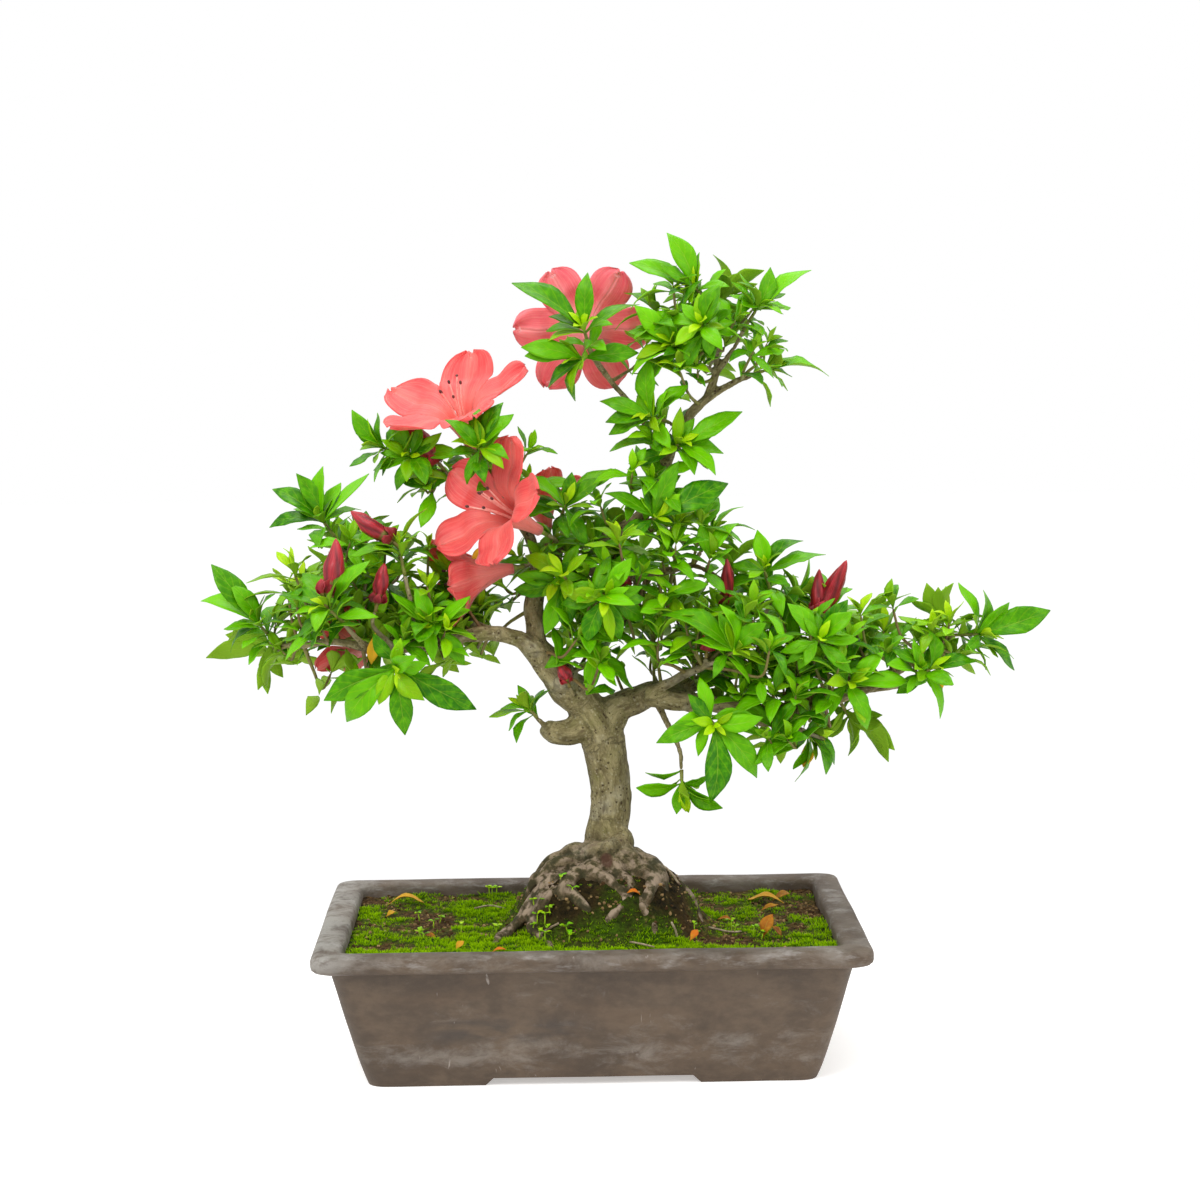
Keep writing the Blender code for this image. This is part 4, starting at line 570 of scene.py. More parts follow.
def bark_finish():
    """Olive-grey bark with fine dark specks and pale patches, brown and mossy towards the soil. Its furrows
    carry painted shade, and the upward faces of the roots carry pale weathering with a painted highlight.
    """
    finish, tree, shader = new_finish("bark")
    grain = tree.attribute("grain", "Vector")
    here = tree.coordinates()
    # top is how much the bark faces up and feeds the painted highlight on the roots
    ridge, low, top = tree.split(tree.attribute("look"))
    lengthwise = tree.stretched(grain, 1.0, 1.0, 0.4)
    ground = tree.use(MOTTLE, Vector=lengthwise, Scale=230.0, Dark=rgb(98, 88, 54), Pale=rgb(162, 150, 108))
    streaks = tree.noise(tree.stretched(grain, 1.0, 1.0, 0.15), 560.0, 5.0, 0.65)
    scales = tree.use(SPECKS, Vector=lengthwise, Scale=330.0, Size=0.55)["Mask"]
    dots = tree.use(SPECKS, Vector=grain, Scale=430.0, Size=0.55)["Mask"]
    flecks = tree.use(SPECKS, Vector=grain, Scale=520.0, Size=0.6)["Mask"]
    broad = tree.noise(here, 60.0)
    patches = tree.noise(here, 190.0, 5.0, 0.6)
    moss = tree.times(tree.span(low, 0.1, 0.7), tree.span(patches, 0.44, 0.62))
    # Pale patches on the roots' upward faces: partly weathered bark, partly a painted highlight where light
    # falls from above
    weathered_and_highlit = tree.times(tree.span(top, 0.1, 0.7), tree.span(patches, 0.54, 0.4))
    x, y, z = tree.split(here)
    far = tree.distance(tree.minus(x, SCAR[0]), tree.minus(z, SCAR[1]))
    scar = tree.times(tree.span(far, 0.0022, 0.004, 1.0, 0.0), tree.span(y, 0.0, -0.004))
    colour = tree.blend(
        ground["Color"],
        (tree.span(streaks, 0.5, 0.7, 0.0, 0.25), rgb(92, 78, 50)),
        (tree.times(tree.span(broad, 0.52, 0.72), 0.55), rgb(178, 172, 148)),
        (tree.times(tree.span(broad, 0.28, 0.5, 1.0, 0.0), 0.5), rgb(104, 104, 44)),
        (tree.times(scales, 0.7), rgb(66, 46, 30)),
        (tree.span(dots, 0.3, 0.5, 0.0, 0.85), rgb(62, 48, 30)),
        (tree.times(flecks, 0.45), rgb(198, 192, 160)),
        (tree.times(low, 0.75), rgb(70, 50, 34)),
        # Weathering with painted highlight: pale on the upward faces of the roots
        (tree.times(weathered_and_highlit, low, 0.7), rgb(172, 152, 132)),
        (tree.times(moss, 0.8), rgb(38, 40, 12)),
        (tree.times(scar, 0.8), rgb(76, 46, 34)),
        # Painted shade: darker where the bark sinks into its furrows
        (tree.span(ridge, 0.5, 0.1, 0.0, 0.3), rgb(60, 50, 28)))
    relief = tree.summed((ground["Height"], 1.0), (streaks, -0.6), (scales, -0.3))
    tree.feed_all(shader, {
        "Base Color": colour, "Roughness": 0.8, "Specular IOR Level": 0.3,
        "Normal": tree.bump(relief, 0.8, 0.001)})
    return finish


def stem_finish():
    """Young twigs, brown below and green towards their leaves."""
    finish, tree, shader = new_finish("young_twig")
    cloud = tree.noise(tree.coordinates(), 420.0)
    age = tree.split(tree.attribute("look"))[2]
    colour = tree.blend(rgb(120, 92, 58), (age, rgb(132, 150, 52)),
                        (tree.span(cloud, 0.4, 0.7, 0.0, 0.6), rgb(92, 62, 38)))
    tree.feed_all(shader, {"Base Color": colour, "Roughness": 0.6, "Normal": tree.bump(cloud, 0.5, 0.0006)})
    return finish


def bud_finish():
    """Folded crimson petals, darkened in their furrows by painted shade, and brown-green scales at the foot."""
    finish, tree, shader = new_finish("bud_skin")
    blade = tree.attribute("blade", "Vector")
    along = tree.split(blade)[1]
    streaks = tree.noise(tree.stretched(blade, 30.0, 2.0, 1.0), 1.0)
    # Painted shade: the look's first value, how deep a vertex sits in a furrow between the folded petals,
    # darkens the red there
    furrow_shade = tree.split(tree.attribute("look"))[0]
    red = tree.blend(
        rgb(138, 12, 30), (tree.span(streaks, 0.35, 0.7), rgb(186, 30, 44)), (furrow_shade, rgb(104, 8, 24)),
        (tree.span(along, 0.6, 1.0, 0.0, 0.45), rgb(204, 52, 56)))
    scales = tree.blend(rgb(118, 92, 40), (tree.span(streaks, 0.4, 0.65), rgb(138, 140, 62)))
    tree.feed_all(shader, {
        "Base Color": tree.blend(scales, (tree.span(along, 0.2, 0.27), red)), "Roughness": 0.42,
        "Normal": tree.bump(streaks, 0.5, 0.0007), "Subsurface Weight": 0.12,
        "Subsurface Radius": (1.0, 0.2, 0.2), "Subsurface Scale": 0.0015})
    return finish


def plain_finish(name, dark, pale, scale, rough):
    """A mottled finish for small things."""
    finish, tree, shader = new_finish(name)
    ground = tree.use(MOTTLE, Vector=tree.coordinates(), Scale=scale, Dark=dark, Pale=pale)
    tree.feed_all(shader, {
        "Base Color": ground["Color"], "Roughness": rough, "Normal": tree.bump(ground["Height"], 0.5, 0.0006)})
    return finish


def toned_finish(name, dark, pale, tip=None):
    """A finish whose tone comes with each small piece, with a second colour towards its tip."""
    finish, tree, shader = new_finish(name)
    tone, _, high = tree.split(tree.attribute("look"))
    cloud = tree.noise(tree.coordinates(), 500.0, 3.0)
    colour = tree.blend(dark, (tone, pale), (tree.span(cloud, 0.4, 0.7, 0.0, 0.4), dark))
    if tip:
        colour = tree.blend(colour, (high, tip))
    tree.feed_all(shader, {
        "Base Color": colour, "Roughness": 0.9, "Specular IOR Level": 0.05,
        "Normal": tree.bump(cloud, 0.5, 0.0005)})
    return finish


def soil_finish():
    """Dark crumbly soil with a green film of moss where it grows, blackest in the heap at the roots."""
    finish, tree, shader = new_finish("crumbly_soil")
    here = tree.coordinates()
    ground = tree.use(MOTTLE, Vector=here, Scale=340.0, Dark=rgb(30, 20, 10), Pale=rgb(104, 78, 44))
    green, root_heap, _ = tree.split(tree.attribute("look"))
    film = tree.use(MOTTLE, Vector=here, Scale=420.0, Dark=rgb(26, 46, 0), Pale=rgb(74, 112, 4))
    black = tree.use(MOTTLE, Vector=here, Scale=260.0, Dark=rgb(14, 12, 4), Pale=rgb(58, 46, 20))
    light = tree.use(SPECKS, Vector=here, Scale=260.0, Size=0.4)
    colour = tree.blend(
        ground["Color"], (root_heap, black["Color"]), (tree.times(light["Mask"], 0.6), rgb(150, 128, 82)),
        (green, film["Color"]))
    relief = tree.summed((ground["Height"], 1.0), (tree.cells(here, 480.0)["Distance"], -0.8))
    tree.feed_all(shader, {
        "Base Color": colour, "Roughness": 0.95, "Specular IOR Level": 0.15,
        "Normal": tree.bump(relief, 1.0, 0.0016)})
    return finish


def pot_finish():
    """Unglazed grey-brown stoneware: pale mineral bloom on rims and low down, smudges and fine scratches."""
    finish, tree, shader = new_finish("unglazed_stoneware")
    here = tree.coordinates()
    x, _, z = tree.split(here)
    ground = tree.use(MOTTLE, Vector=tree.stretched(here, 1.0, 1.0, 1.7), Scale=26.0, Dark=rgb(64, 50, 36),
                      Pale=rgb(88, 72, 55))
    clouds = tree.noise(tree.stretched(here, 1.0, 1.0, 3.0), 17.0, 6.0, 0.62, 0.6)
    bloom = tree.noise(tree.stretched(here, 1.0, 1.0, 2.2), 44.0, 7.0, 0.7, 0.4)
    grain = tree.noise(here, 900.0, 4.0, 0.7)
    low_band = tree.times(tree.span(z, 0.004, 0.016), tree.span(z, 0.018, 0.034, 1.0, 0.0))
    top_band = tree.span(z, 0.058, 0.07)
    crust = tree.span(tree.summed((low_band, 0.16), (top_band, 0.18), (bloom, 1.0)), 0.56, 0.86)
    left_rim = tree.times(top_band, tree.span(x, -0.13, -0.155, 0.0, 0.6))
    smudge = tree.times(
        tree.span(z, 0.02, 0.027), tree.span(z, 0.032, 0.042, 1.0, 0.0), tree.span(x, -0.115, -0.085),
        tree.span(x, -0.04, -0.01, 1.0, 0.0), tree.span(clouds, 0.42, 0.6))
    scratches = tree.noise(tree.stretched(here, 22.0, 22.0, 1.6), 9.0, 2.0, 0.4, 1.4)
    scratch = tree.times(tree.span(scratches, 0.7, 0.74), tree.span(clouds, 0.5, 0.62))
    inside = tree.span(tree.noise(tree.stretched(here, 1.0, 1.0, 4.0), 70.0, 6.0, 0.7), 0.5, 0.72)
    colour = tree.blend(
        ground["Color"],
        (tree.span(clouds, 0.45, 0.75, 0.0, 0.35), rgb(88, 68, 48)),
        (tree.times(crust, 0.42), rgb(150, 144, 136)),
        (tree.times(smudge, 0.7), rgb(48, 42, 38)),
        (tree.times(scratch, 0.4), rgb(186, 178, 170)),
        (tree.times(inside, top_band, 0.5), rgb(164, 160, 156)),
        (tree.times(left_rim, tree.span(bloom, 0.36, 0.56)), rgb(178, 176, 170)),
        (tree.span(grain, 0.55, 0.75, 0.0, 0.35), rgb(62, 50, 40)))
    tree.feed_all(shader, {
        "Base Color": colour, "Roughness": tree.span(crust, 0.0, 1.0, 0.62, 0.85),
        "Normal": tree.bump(tree.summed((bloom, 0.8), (grain, 0.5)), 0.35, 0.0012)})
    return finish


# Curves, directions and thin round bars


def spoke(angle, rise=0.0):
    """One step outward at an angle, with a rise."""
    return Vector((math.cos(angle), math.sin(angle), rise))


def beside(heading, around):
    """A direction square to a heading, at an angle round it."""
    side = heading.orthogonal().normalized()
    return side * math.cos(around) + heading.cross(side) * math.sin(around)


def clouds(place, layers):
    """A sum of clouds in space, each given as (amount, fineness)."""
    return sum(amount * noise.noise(place * fine) for amount, fine in layers)


def patches(x, y, layers):
    """A sum of clouds on the ground, each given as (amount, fineness across, along, which cloud)."""
    return sum(amount * noise.noise(Vector((x * fine_x, y * fine_y, which)))
               for amount, fine_x, fine_y, which in layers)


def unit(value):
    """The value, kept between 0 and 1."""
    return min(1.0, max(0.0, value))


def lookup_of(points):
    """A lookup that finds the nearest of some points."""
    lookup = KDTree(len(points))
    for index, point in enumerate(points):
        lookup.insert(point, index)
    lookup.balance()
    return lookup


def flowing(path, step=3.0):
    """A smooth path through points of (x, y, z, radius), with a point about every step."""
    points = [Vector(p) for p in path]
    points = [points[0] * 2 - points[1]] + points + [points[-1] * 2 - points[-2]]
    made = []
    for before, start, end, after in zip(points, points[1:], points[2:], points[3:]):
        count = max(1, round((end - start).to_3d().length / step))
        for i in range(count):
            t = i / count
            bent = (2 * before - 5 * start + 4 * end - after) * t * t
            turned = (3 * start - 3 * end + after - before) * t ** 3
            made.append(0.5 * (2 * start + (end - before) * t + bent + turned))
    return made + [points[-2]]


def round_bar(bm, path, sides=8, taper_end=False):
    """Adds a round bar along (x, y, z, radius) points, closed at both ends."""
    data = bpy.data.curves.new("bar", "CURVE")
    data.dimensions = "3D"
    data.bevel_depth = 1.0
    data.bevel_resolution = max(0, (sides - 4) // 2)
    data.use_fill_caps = True
    spline = data.splines.new("POLY")
    spline.points.add(len(path) - 1)
    for target, point in zip(spline.points, path):
        target.co = (*placed(point), 1.0)
        target.radius = point[3] * MM
    if taper_end:
        spline.points[-1].radius *= 0.3
    guide = bpy.data.objects.new("bar", data)
    mesh = bpy.data.meshes.new_from_object(guide)
    solid = bmesh.new()
    solid.from_mesh(mesh)
    bmesh.ops.remove_doubles(solid, verts=solid.verts, dist=1e-6)
    bmesh.ops.recalc_face_normals(solid, faces=solid.faces)
    solid.to_mesh(mesh)
    solid.free()
    bm.from_mesh(mesh)
    bpy.data.objects.remove(guide)
    bpy.data.curves.remove(data)
    bpy.data.meshes.remove(mesh)


def soil_height(x, y):
    """Height of the soil's surface, as in the source."""
    across = (x - MOUND_CENTRE[0]) / MOUND_SPREAD[0]
    along = (y - MOUND_CENTRE[1]) / MOUND_SPREAD[1]
    far = across * across + along * along
    mound = MOUND_HEIGHT * math.exp(-MOUND_FALL * far ** MOUND_LEVEL) + MOUND_PEAK * math.exp(-PEAK_FALL * far)
    broad = BROAD_ROLL[0] * math.sin(x * BROAD_ROLL[1] + 1.0) * math.cos(y * BROAD_ROLL[2])
    fine = FINE_ROLL[0] * math.sin(x * FINE_ROLL[1] + y * FINE_ROLL[2])
    return SOIL_LEVEL + mound + broad + fine


# Where the shoots, twigs and leaves stand, as in the source


def station(branch, index):
    path = STUB if branch == "stub" else BRANCHES[branch]
    return Vector(path[index][:3])


def shoot_foot(name):
    branch, index, whorls = SHOOTS[name]
    start = station(branch, index)
    ends = [Vector(w[0]) for w in whorls]
    target = sum(ends, Vector()) / len(ends)
    way = target - start
    green = min(SHOOT_LENGTH, 0.55 * way.length)
    heading = (way.normalized() + Vector((0, 0, TWIG_LIFT))).normalized()
    return target - way.normalized() * green, heading


def shoot_stems(name):
    foot, heading = shoot_foot(name)
    return [(foot, foot + heading * SHOOT_KNEE, Vector(middle)) for middle, _, _ in SHOOTS[name][2]]


def bloom_axis(name):
    foot, mouth = Vector(BLOOMS[name][2]), Vector(BLOOMS[name][3])
    return foot, (mouth - foot).normalized()


def bud_foot(name):
    carrier, index, foot, tips = BUDS[name]
    middle = sum([Vector(tip) for tip, _ in tips], Vector()) / len(tips)
    if foot is not None:
        return Vector(foot), (middle - Vector(foot)).normalized()
    _, knee, end = shoot_stems(carrier)[index]
    heading = (end - knee).normalized()
    way = (middle - end).normalized()
    return end + heading * GAP + (way - heading * way.dot(heading)) * GAP, heading


def leaf_candidates(name, number, middle, heading, seen):
    """Tips that the source tries for one leaf, in its order."""
    draw = random.Random(f"{name} leaf {number}")
    for attempt in range(LEAF_TRIES):
        if seen is not None:
            flat = Vector((seen[0], 0, seen[1]))
            spread = 0.15 + 0.055 * attempt
            depth = flat.length * draw.uniform(-spread, spread)
            shrink = 1.0 if attempt < 10 else 0.92 - 0.02 * (attempt - 10)
            tip = Vector((flat.x * shrink, depth, flat.z * shrink))
        else:
            around = number * 2.4 + draw.uniform(-0.5, 0.5) + 0.9 * attempt
            lean = math.radians(draw.uniform(*SPREAD_DEGREES))
            length = draw.uniform(*BACK_LEAF_LENGTH) * (1.0 - 0.012 * attempt)
            tip = (heading * math.cos(lean) + beside(heading, around) * math.sin(lean)) * length
        reach = min(max(tip.length, LEAF_SHORTEST), LEAF_LONGEST)
        yield middle + tip.normalized() * reach


def solid_leaves(name):
    """Root and tip of each leaf that the CAD shoot has, with its whorl's heading."""
    corners = lookup_of([vertex.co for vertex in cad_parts[name].data.vertices])
    leaves = []
    for place, (middle, tips, more) in enumerate(SHOOTS[name][2]):
        _, knee, end = shoot_stems(name)[place]
        heading = (end - knee).normalized()
        for number, seen in enumerate((*tips, *[None] * more)):
            root = Vector(middle) - heading * (1.2 + 0.8 * (number % 3))
            for tip in leaf_candidates(f"{name} {place}", number, root, heading, seen):
                if corners.find(placed(tip))[2] < TIP_MATCH * MM:
                    leaves.append((root, tip, heading))
                    break
    return leaves


# Blanks: small shapes that are copied, bent and coloured many times

SPARE = bpy.data.meshes.new("spare")


def new_bmesh():
    """An empty bmesh with the layers that the finishes read."""
    bm = bmesh.new()
    bm.verts.layers.float_vector.new("blade")
    bm.verts.layers.float_color.new("look")
    return bm


def pour(one, bm):
    """Moves all of one bmesh into another."""
    one.to_mesh(SPARE)
    one.free()
    bm.from_mesh(SPARE)


def add_copy(bm, blank, shape):
    """Adds a copy of a blank after shape() has moved and coloured its vertices."""
    one = bmesh.new()
    one.from_mesh(blank)
    shape(one, one.verts.layers.float_color["look"])
    pour(one, bm)


def table(rows, share):
    """Reads a smooth value out of rows of (share, value)."""
    for (low, first), (high, second) in zip(rows, rows[1:]):
        if share <= high:
            ease = (share - low) / (high - low)
            return first + (second - first) * ease
    return rows[-1][1]


def sheet_blank(name, cells, outline):
    """A closed thin sheet, one long and thick. Its map is in 'blade', its underside is marked in 'look'."""
    bm = new_bmesh()
    bmesh.ops.create_grid(bm, x_segments=cells[0], y_segments=cells[1], size=0.5)
    blade, look = bm.verts.layers.float_vector["blade"], bm.verts.layers.float_color["look"]
    for vert in bm.verts:
        across, along = vert.co.x + 0.5, vert.co.y + 0.5
        vert[blade] = (across, along, 0.0)
        vert[look] = (0.0, 0.0, 0.0, 1.0)
        vert.co = (vert.co.x * max(table(outline, along), 0.03), along, 0.5)
    rim = [edge for edge in bm.edges if edge.is_boundary]
    copy = bmesh.ops.duplicate(bm, geom=bm.faces[:])
    below = [item for item in copy["geom"] if isinstance(item, bmesh.types.BMFace)]
    for item in copy["geom"]:
        if isinstance(item, bmesh.types.BMVert):
            item.co.z = -0.5
            item[look] = (0.0, 1.0, 0.0, 1.0)
    bmesh.ops.reverse_faces(bm, faces=below)
    bmesh.ops.bridge_loops(bm, edges=rim + [edge for face in below for edge in face.edges if edge.is_boundary])
    bmesh.ops.recalc_face_normals(bm, faces=bm.faces)
    return new_mesh(bm, name)


LEAF_BLANK = sheet_blank("leaf_blank", LEAF_CELLS, LEAF_OUTLINE)
SMALL_LEAF_BLANK = sheet_blank("small_leaf_blank", SMALL_LEAF_CELLS, LEAF_OUTLINE)
PETAL_BLANK = sheet_blank("petal_blank", PETAL_CELLS, ((0.0, 1.0), (1.0, 1.0)))


def add_leaf(bm, root, tip, up, width, draw, young=0.0, blank=LEAF_BLANK, thick=LEAF_THICK, arch=LEAF_ARCH,
             tone=None):
    """Adds a blade from its root to its tip: arched, folded along its midrib, twisted and wavy at its edge."""
    along = tip - root
    length = along.length
    along.normalize()
    side = along.cross(up)
    if side.length < 0.2:
        side = along.cross(Vector((0.3, -0.9, 0.2)))
    side.normalize()
    face = side.cross(along).normalized()
    tone = draw.random() if tone is None else tone
    bow = arch * length * draw.uniform(0.6, 1.9)
    fold = draw.uniform(0.12, 0.5)
    twist = draw.uniform(-0.9, 0.9)
    wave, phase = draw.uniform(0.0, 0.08) * length * width, draw.uniform(0, 6.3)
    curl = draw.uniform(-0.1, 0.16) * length
    sway = draw.uniform(-0.07, 0.07) * length
    breadth = length * width * draw.uniform(0.9, 1.12)

    def shape(one, look):
        for vert in one.verts:
            x, share, z = vert.co
            middle = 4 * share * (1 - share)
            off = x * breadth
            lift = bow * middle + fold * abs(off) * math.sin(math.pi * min(1.0, share * 1.1))
            waving = math.sin(phase + share * EDGE_WAVES + (2.0 if x > 0 else 0.0))
            lift += wave * waving * abs(2 * x) ** 1.5 * middle
            lift -= curl * max(0.0, share - CURL_START) ** 2 * 8
            turn = twist * (share - TWIST_START)
            out = off * math.cos(turn) - lift * math.sin(turn) * 0.3 + sway * middle
            up_by = off * math.sin(turn) + lift + z * thick * (1.6 if share < STALK_END else 1.0)
            vert.co = placed(root + along * (length * share) + side * out + face * up_by)
            vert[look] = (tone, vert[look][1], young, 1.0)

    add_copy(bm, blank, shape)


def add_whorl(bm, root, heading, draw, count, length, lean, young, drop=0.0):
    """Adds leaves round a shoot, some way below its tip, each a little out of line with the next."""
    start = draw.uniform(0, 2 * math.pi)
    for number in range(count):
        around = start + 2 * math.pi * number / count + draw.uniform(-0.5, 0.5)
        tilt = math.radians(draw.uniform(*lean))
        reach = draw.uniform(*length)
        foot = root - heading * drop * draw.random()
        tip = foot + (heading * math.cos(tilt) + beside(heading, around) * math.sin(tilt)) * reach
        tip.z -= 0.1 * reach * draw.random()
        up = (heading * 1.2 + Vector((draw.uniform(-0.4, 0.4), draw.uniform(-0.5, 0.2), 0.5))).normalized()
        add_leaf(bm, foot, tip, up, LEAF_WIDTH * draw.uniform(0.85, 1.12), draw, young, blank=SMALL_LEAF_BLANK)


def add_stem(stems, path, age):
    """Adds a green or brown stem to the twigs' bmesh, coloured by its age."""
    one = new_bmesh()
    round_bar(one, flowing([(*p[:3], p[3]) for p in path], 2.5), taper_end=True)
    look = one.verts.layers.float_color["look"]
    for vert in one.verts:
        vert[look] = (0.5, 0.0, age, 1.0)
    pour(one, stems)


def make_shoot(name, finish):
    """One leafy shoot: the solid's leaves made finer, and the smaller ones between them."""
    draw = random.Random(name)
    bm = new_bmesh()
    for root, tip, heading in solid_leaves(name):
        length = (tip - root).length
        up = (heading * 0.8 + Vector((0, -0.25, 0.45))).normalized()
        add_leaf(bm, root, tip, up, LEAF_WIDTH * (1.08 if length < 26 else 0.96), draw)
    for _, knee, end in shoot_stems(name):
        heading = (end - knee).normalized()
        add_whorl(bm, end, heading, draw, draw.choice((2, 3)), (8, 14), (12, 45), 0.8)
        add_whorl(bm, end, heading, draw, 3, (13, 22), (40, 85), draw.uniform(0, 0.5), 4.0)
        add_whorl(bm, end, heading, draw, 3, (16, 26), (60, 110), 0.0, 8.0)
        way = end - knee
        if way.length > 7:
            add_whorl(bm, knee + way * 0.4, heading, draw, 3, (14, 22), (45, 95), 0.0, 4.0)
    settle(bm, "leaves_" + name, finish, "leaf", name)


# Leafy twigs that fill the crown: the limbs that carry them, their middle, how far they stray, how many
CROWN_FILL = {
    "left": (("left_low", "left_rear"), (-108, -8, 234), (58, 46, 36), 56),
    "left_heart": (("left_low", "left_limb", "riser"), (-66, -8, 226), (30, 40, 22), 16),
    "peak": (("peak", "riser"), (-56, 8, 300), (34, 30, 14), 11),
    "centre": (("middle", "crown", "middle_rear", "riser"), (14, 0, 254), (54, 46, 26), 40),
    "heart": (("right_limb", "right_front", "left_limb", "middle"), (24, 4, 214), (44, 44, 18), 22),
    "neck": (("crown",), (40, 0, 306), (22, 22, 28), 6),
    "crown": (("crown_up", "crown_east", "crown_west", "crown"), (62, 0, 362), (36, 30, 32), 19),
    "right": (("right_high", "right_low", "right_rear", "right_front"), (98, 2, 214), (58, 50, 26), 54),
    "right_low": (("right_drop", "low_run", "hanging"), (88, -6, 178), (50, 34, 20), 22),
    "right_far": (("right_high", "low_run"), (168, 4, 204), (34, 26, 16), 10),
}
FILL_NEAREST, FILL_FARTHEST, FILL_APART = 7.0, 40.0, 10.5
FILL_TRIES, FILL_SPREAD, FILL_EDGE = 30, 0.55, 1.15
# Where the crown stays open to the viewer: middle and radius of each bloom, and the limbs seen at the fork
OPEN_TO_VIEW = (
    ((1, 17, 367), 24), ((-62, -5, 325), 27), ((-40, -34, 280), 27), ((-54, -14, 247), 24), ((-18, 0, 200), 17),
    ((0, 0, 180), 20), ((22, 0, 184), 12), ((-122, -46, 255), 9), ((-100, -40, 248), 8),
    ((-106, -30, 272), 9), ((-84, -10, 312), 9), ((71, -4, 244), 9), ((126, 0, 240), 11), ((8, 0, 130), 40),
    ((58, -6, 180), 8), ((72, -7, 178), 7), ((84, -8, 176), 7), ((103, -8, 173), 7), ((125, -6, 179), 6),
    ((146, 0, 187), 6), ((-44, 0, 212), 9),
    ((-22, 0, 222), 9), ((37, 0, 303), 7), ((53, 0, 323), 7), ((65, 0, 346), 7), ((80, 0, 345), 6),
)
BEHIND_OPENING = 4.0


def covers_view(point):
    """True where a leafy twig would stand between the viewer and what the photograph shows open."""
    eye = Vector(CAMERA_TARGET) - VIEW_AHEAD * CAMERA_DISTANCE / MM
    ray = (point - eye).normalized()
    for middle, radius in OPEN_TO_VIEW:
        way = Vector(middle) - eye
        along = way.dot(ray)
        if (way - ray * along).length < radius and (point - eye).length < along + BEHIND_OPENING:
            return True
    return False


def fill_places(name, limbs):
    """Feet and ends of the leafy twigs of one part of the crown."""
    carriers, middle, reach, count = CROWN_FILL[name]
    draw = random.Random("fill " + name)
    starts = [Vector(point[:3]) for carrier in carriers for point in limbs[carrier][2:]]
    ends = []
    for _ in range(count * FILL_TRIES):
        if len(ends) == count:
            break
        off = Vector([draw.gauss(0, FILL_SPREAD) for _ in range(3)])
        if off.length > FILL_EDGE:
            continue
        end = Vector(middle) + off * Vector(reach)
        start = min(starts, key=lambda point: (point - end).length)
        if not FILL_NEAREST < (start - end).length < FILL_FARTHEST or covers_view(end):
            continue
        if all((end - other).length >= FILL_APART for _, other in ends):
            ends.append((start, end))
    return ends


def make_fill(name, limbs, finish, stems):
    """Leafy twigs that fill one part of the crown between the shoots of the solids."""
    draw = random.Random("leaves " + name)
    bm = new_bmesh()
    for start, end in fill_places(name, limbs):
        way = end - start
        heading = way.normalized() * 0.8 + Vector((draw.uniform(-0.5, 0.5), draw.uniform(-0.35, 0.35), 0.9))
        heading.normalize()
        knee = end - heading * way.length * 0.45
        middle = start.lerp(knee, 0.5) + Vector((0, 0, draw.uniform(-1.5, 1.5)))
        add_stem(stems, [(*start, 1.15), (*middle, 0.85), (*knee, 0.72), (*end, 0.6)], draw.uniform(0.1, 0.6))
        young = draw.random() < 0.35
        add_whorl(bm, end, heading, draw, 3, (8, 15), (15, 50), 0.8 if young else 0.25)
        count = draw.choice((3, 4, 5))
        add_whorl(bm, end, heading, draw, count, (14, 26), (45, 95), 0.3 if young else 0.0, 5.0)
        if way.length > 16:
            add_whorl(bm, knee, heading, draw, 2, (13, 21), (45, 100), 0.0, 6.0)
    settle(bm, "leaves_filling_" + name, finish, "leaf")


def make_green_stems(finish, stems):
    """The green stems of every shoot and bloom, with those of the twigs that fill the crown."""
    for name in BLOOMS:
        add_bloom_stalk(stems, name)
    for name in SHOOTS:
        for foot, knee, end in shoot_stems(name):
            add_stem(stems, [(*foot, 1.0), (*knee, 0.95), (*(knee.lerp(end, 0.5)), 0.85), (*end, 0.8)], 0.65)
    settle(stems, "green_stems", finish, "leaf")


# Wood


def bend_between(start, end, heading, radius):
    knee = end - heading * 0.35 * (end - start).length
    return [(*start, radius * 1.25), (*knee, radius), (*end, radius * 0.85)]


def twig_paths():
    """Twigs from the branches to what they carry, as in the source."""
    feet = {name: (SHOOTS[name], *shoot_foot(name)) for name in SHOOTS}
    feet.update({name: (BLOOMS[name], *bloom_axis(name)) for name in BLOOMS})
    feet.update({name: (BUDS[name], *bud_foot(name)) for name in BUDS if BUDS[name][2] is not None})
    return {name: bend_between(station(row[0], row[1]), foot, heading, TWIG_RADIUS)
            for name, (row, foot, heading) in feet.items()}


def gnarled(path, name, swell=0.14, bend=0.35):
    """A flowing path with swellings, and small bends that leave its ends where they are."""
    points = flowing(path, 2.6)
    draw = random.Random(name)
    shift = Vector([draw.uniform(0, 50) for _ in range(3)])
    made = []
    for index, point in enumerate(points):
        place = point.to_3d()
        ends = min(1.0, 4 * index / len(points), 4 * (len(points) - 1 - index) / len(points))
        knot = noise.noise(place * 0.11 + shift) * 1.3 + 0.5 * noise.noise(place * 0.32 + shift)
        off = noise.noise_vector(place * 0.09 + shift) * bend * point[3] * ends
        made.append((*(place + off), point[3] * (1.0 + swell * knot)))
    return made


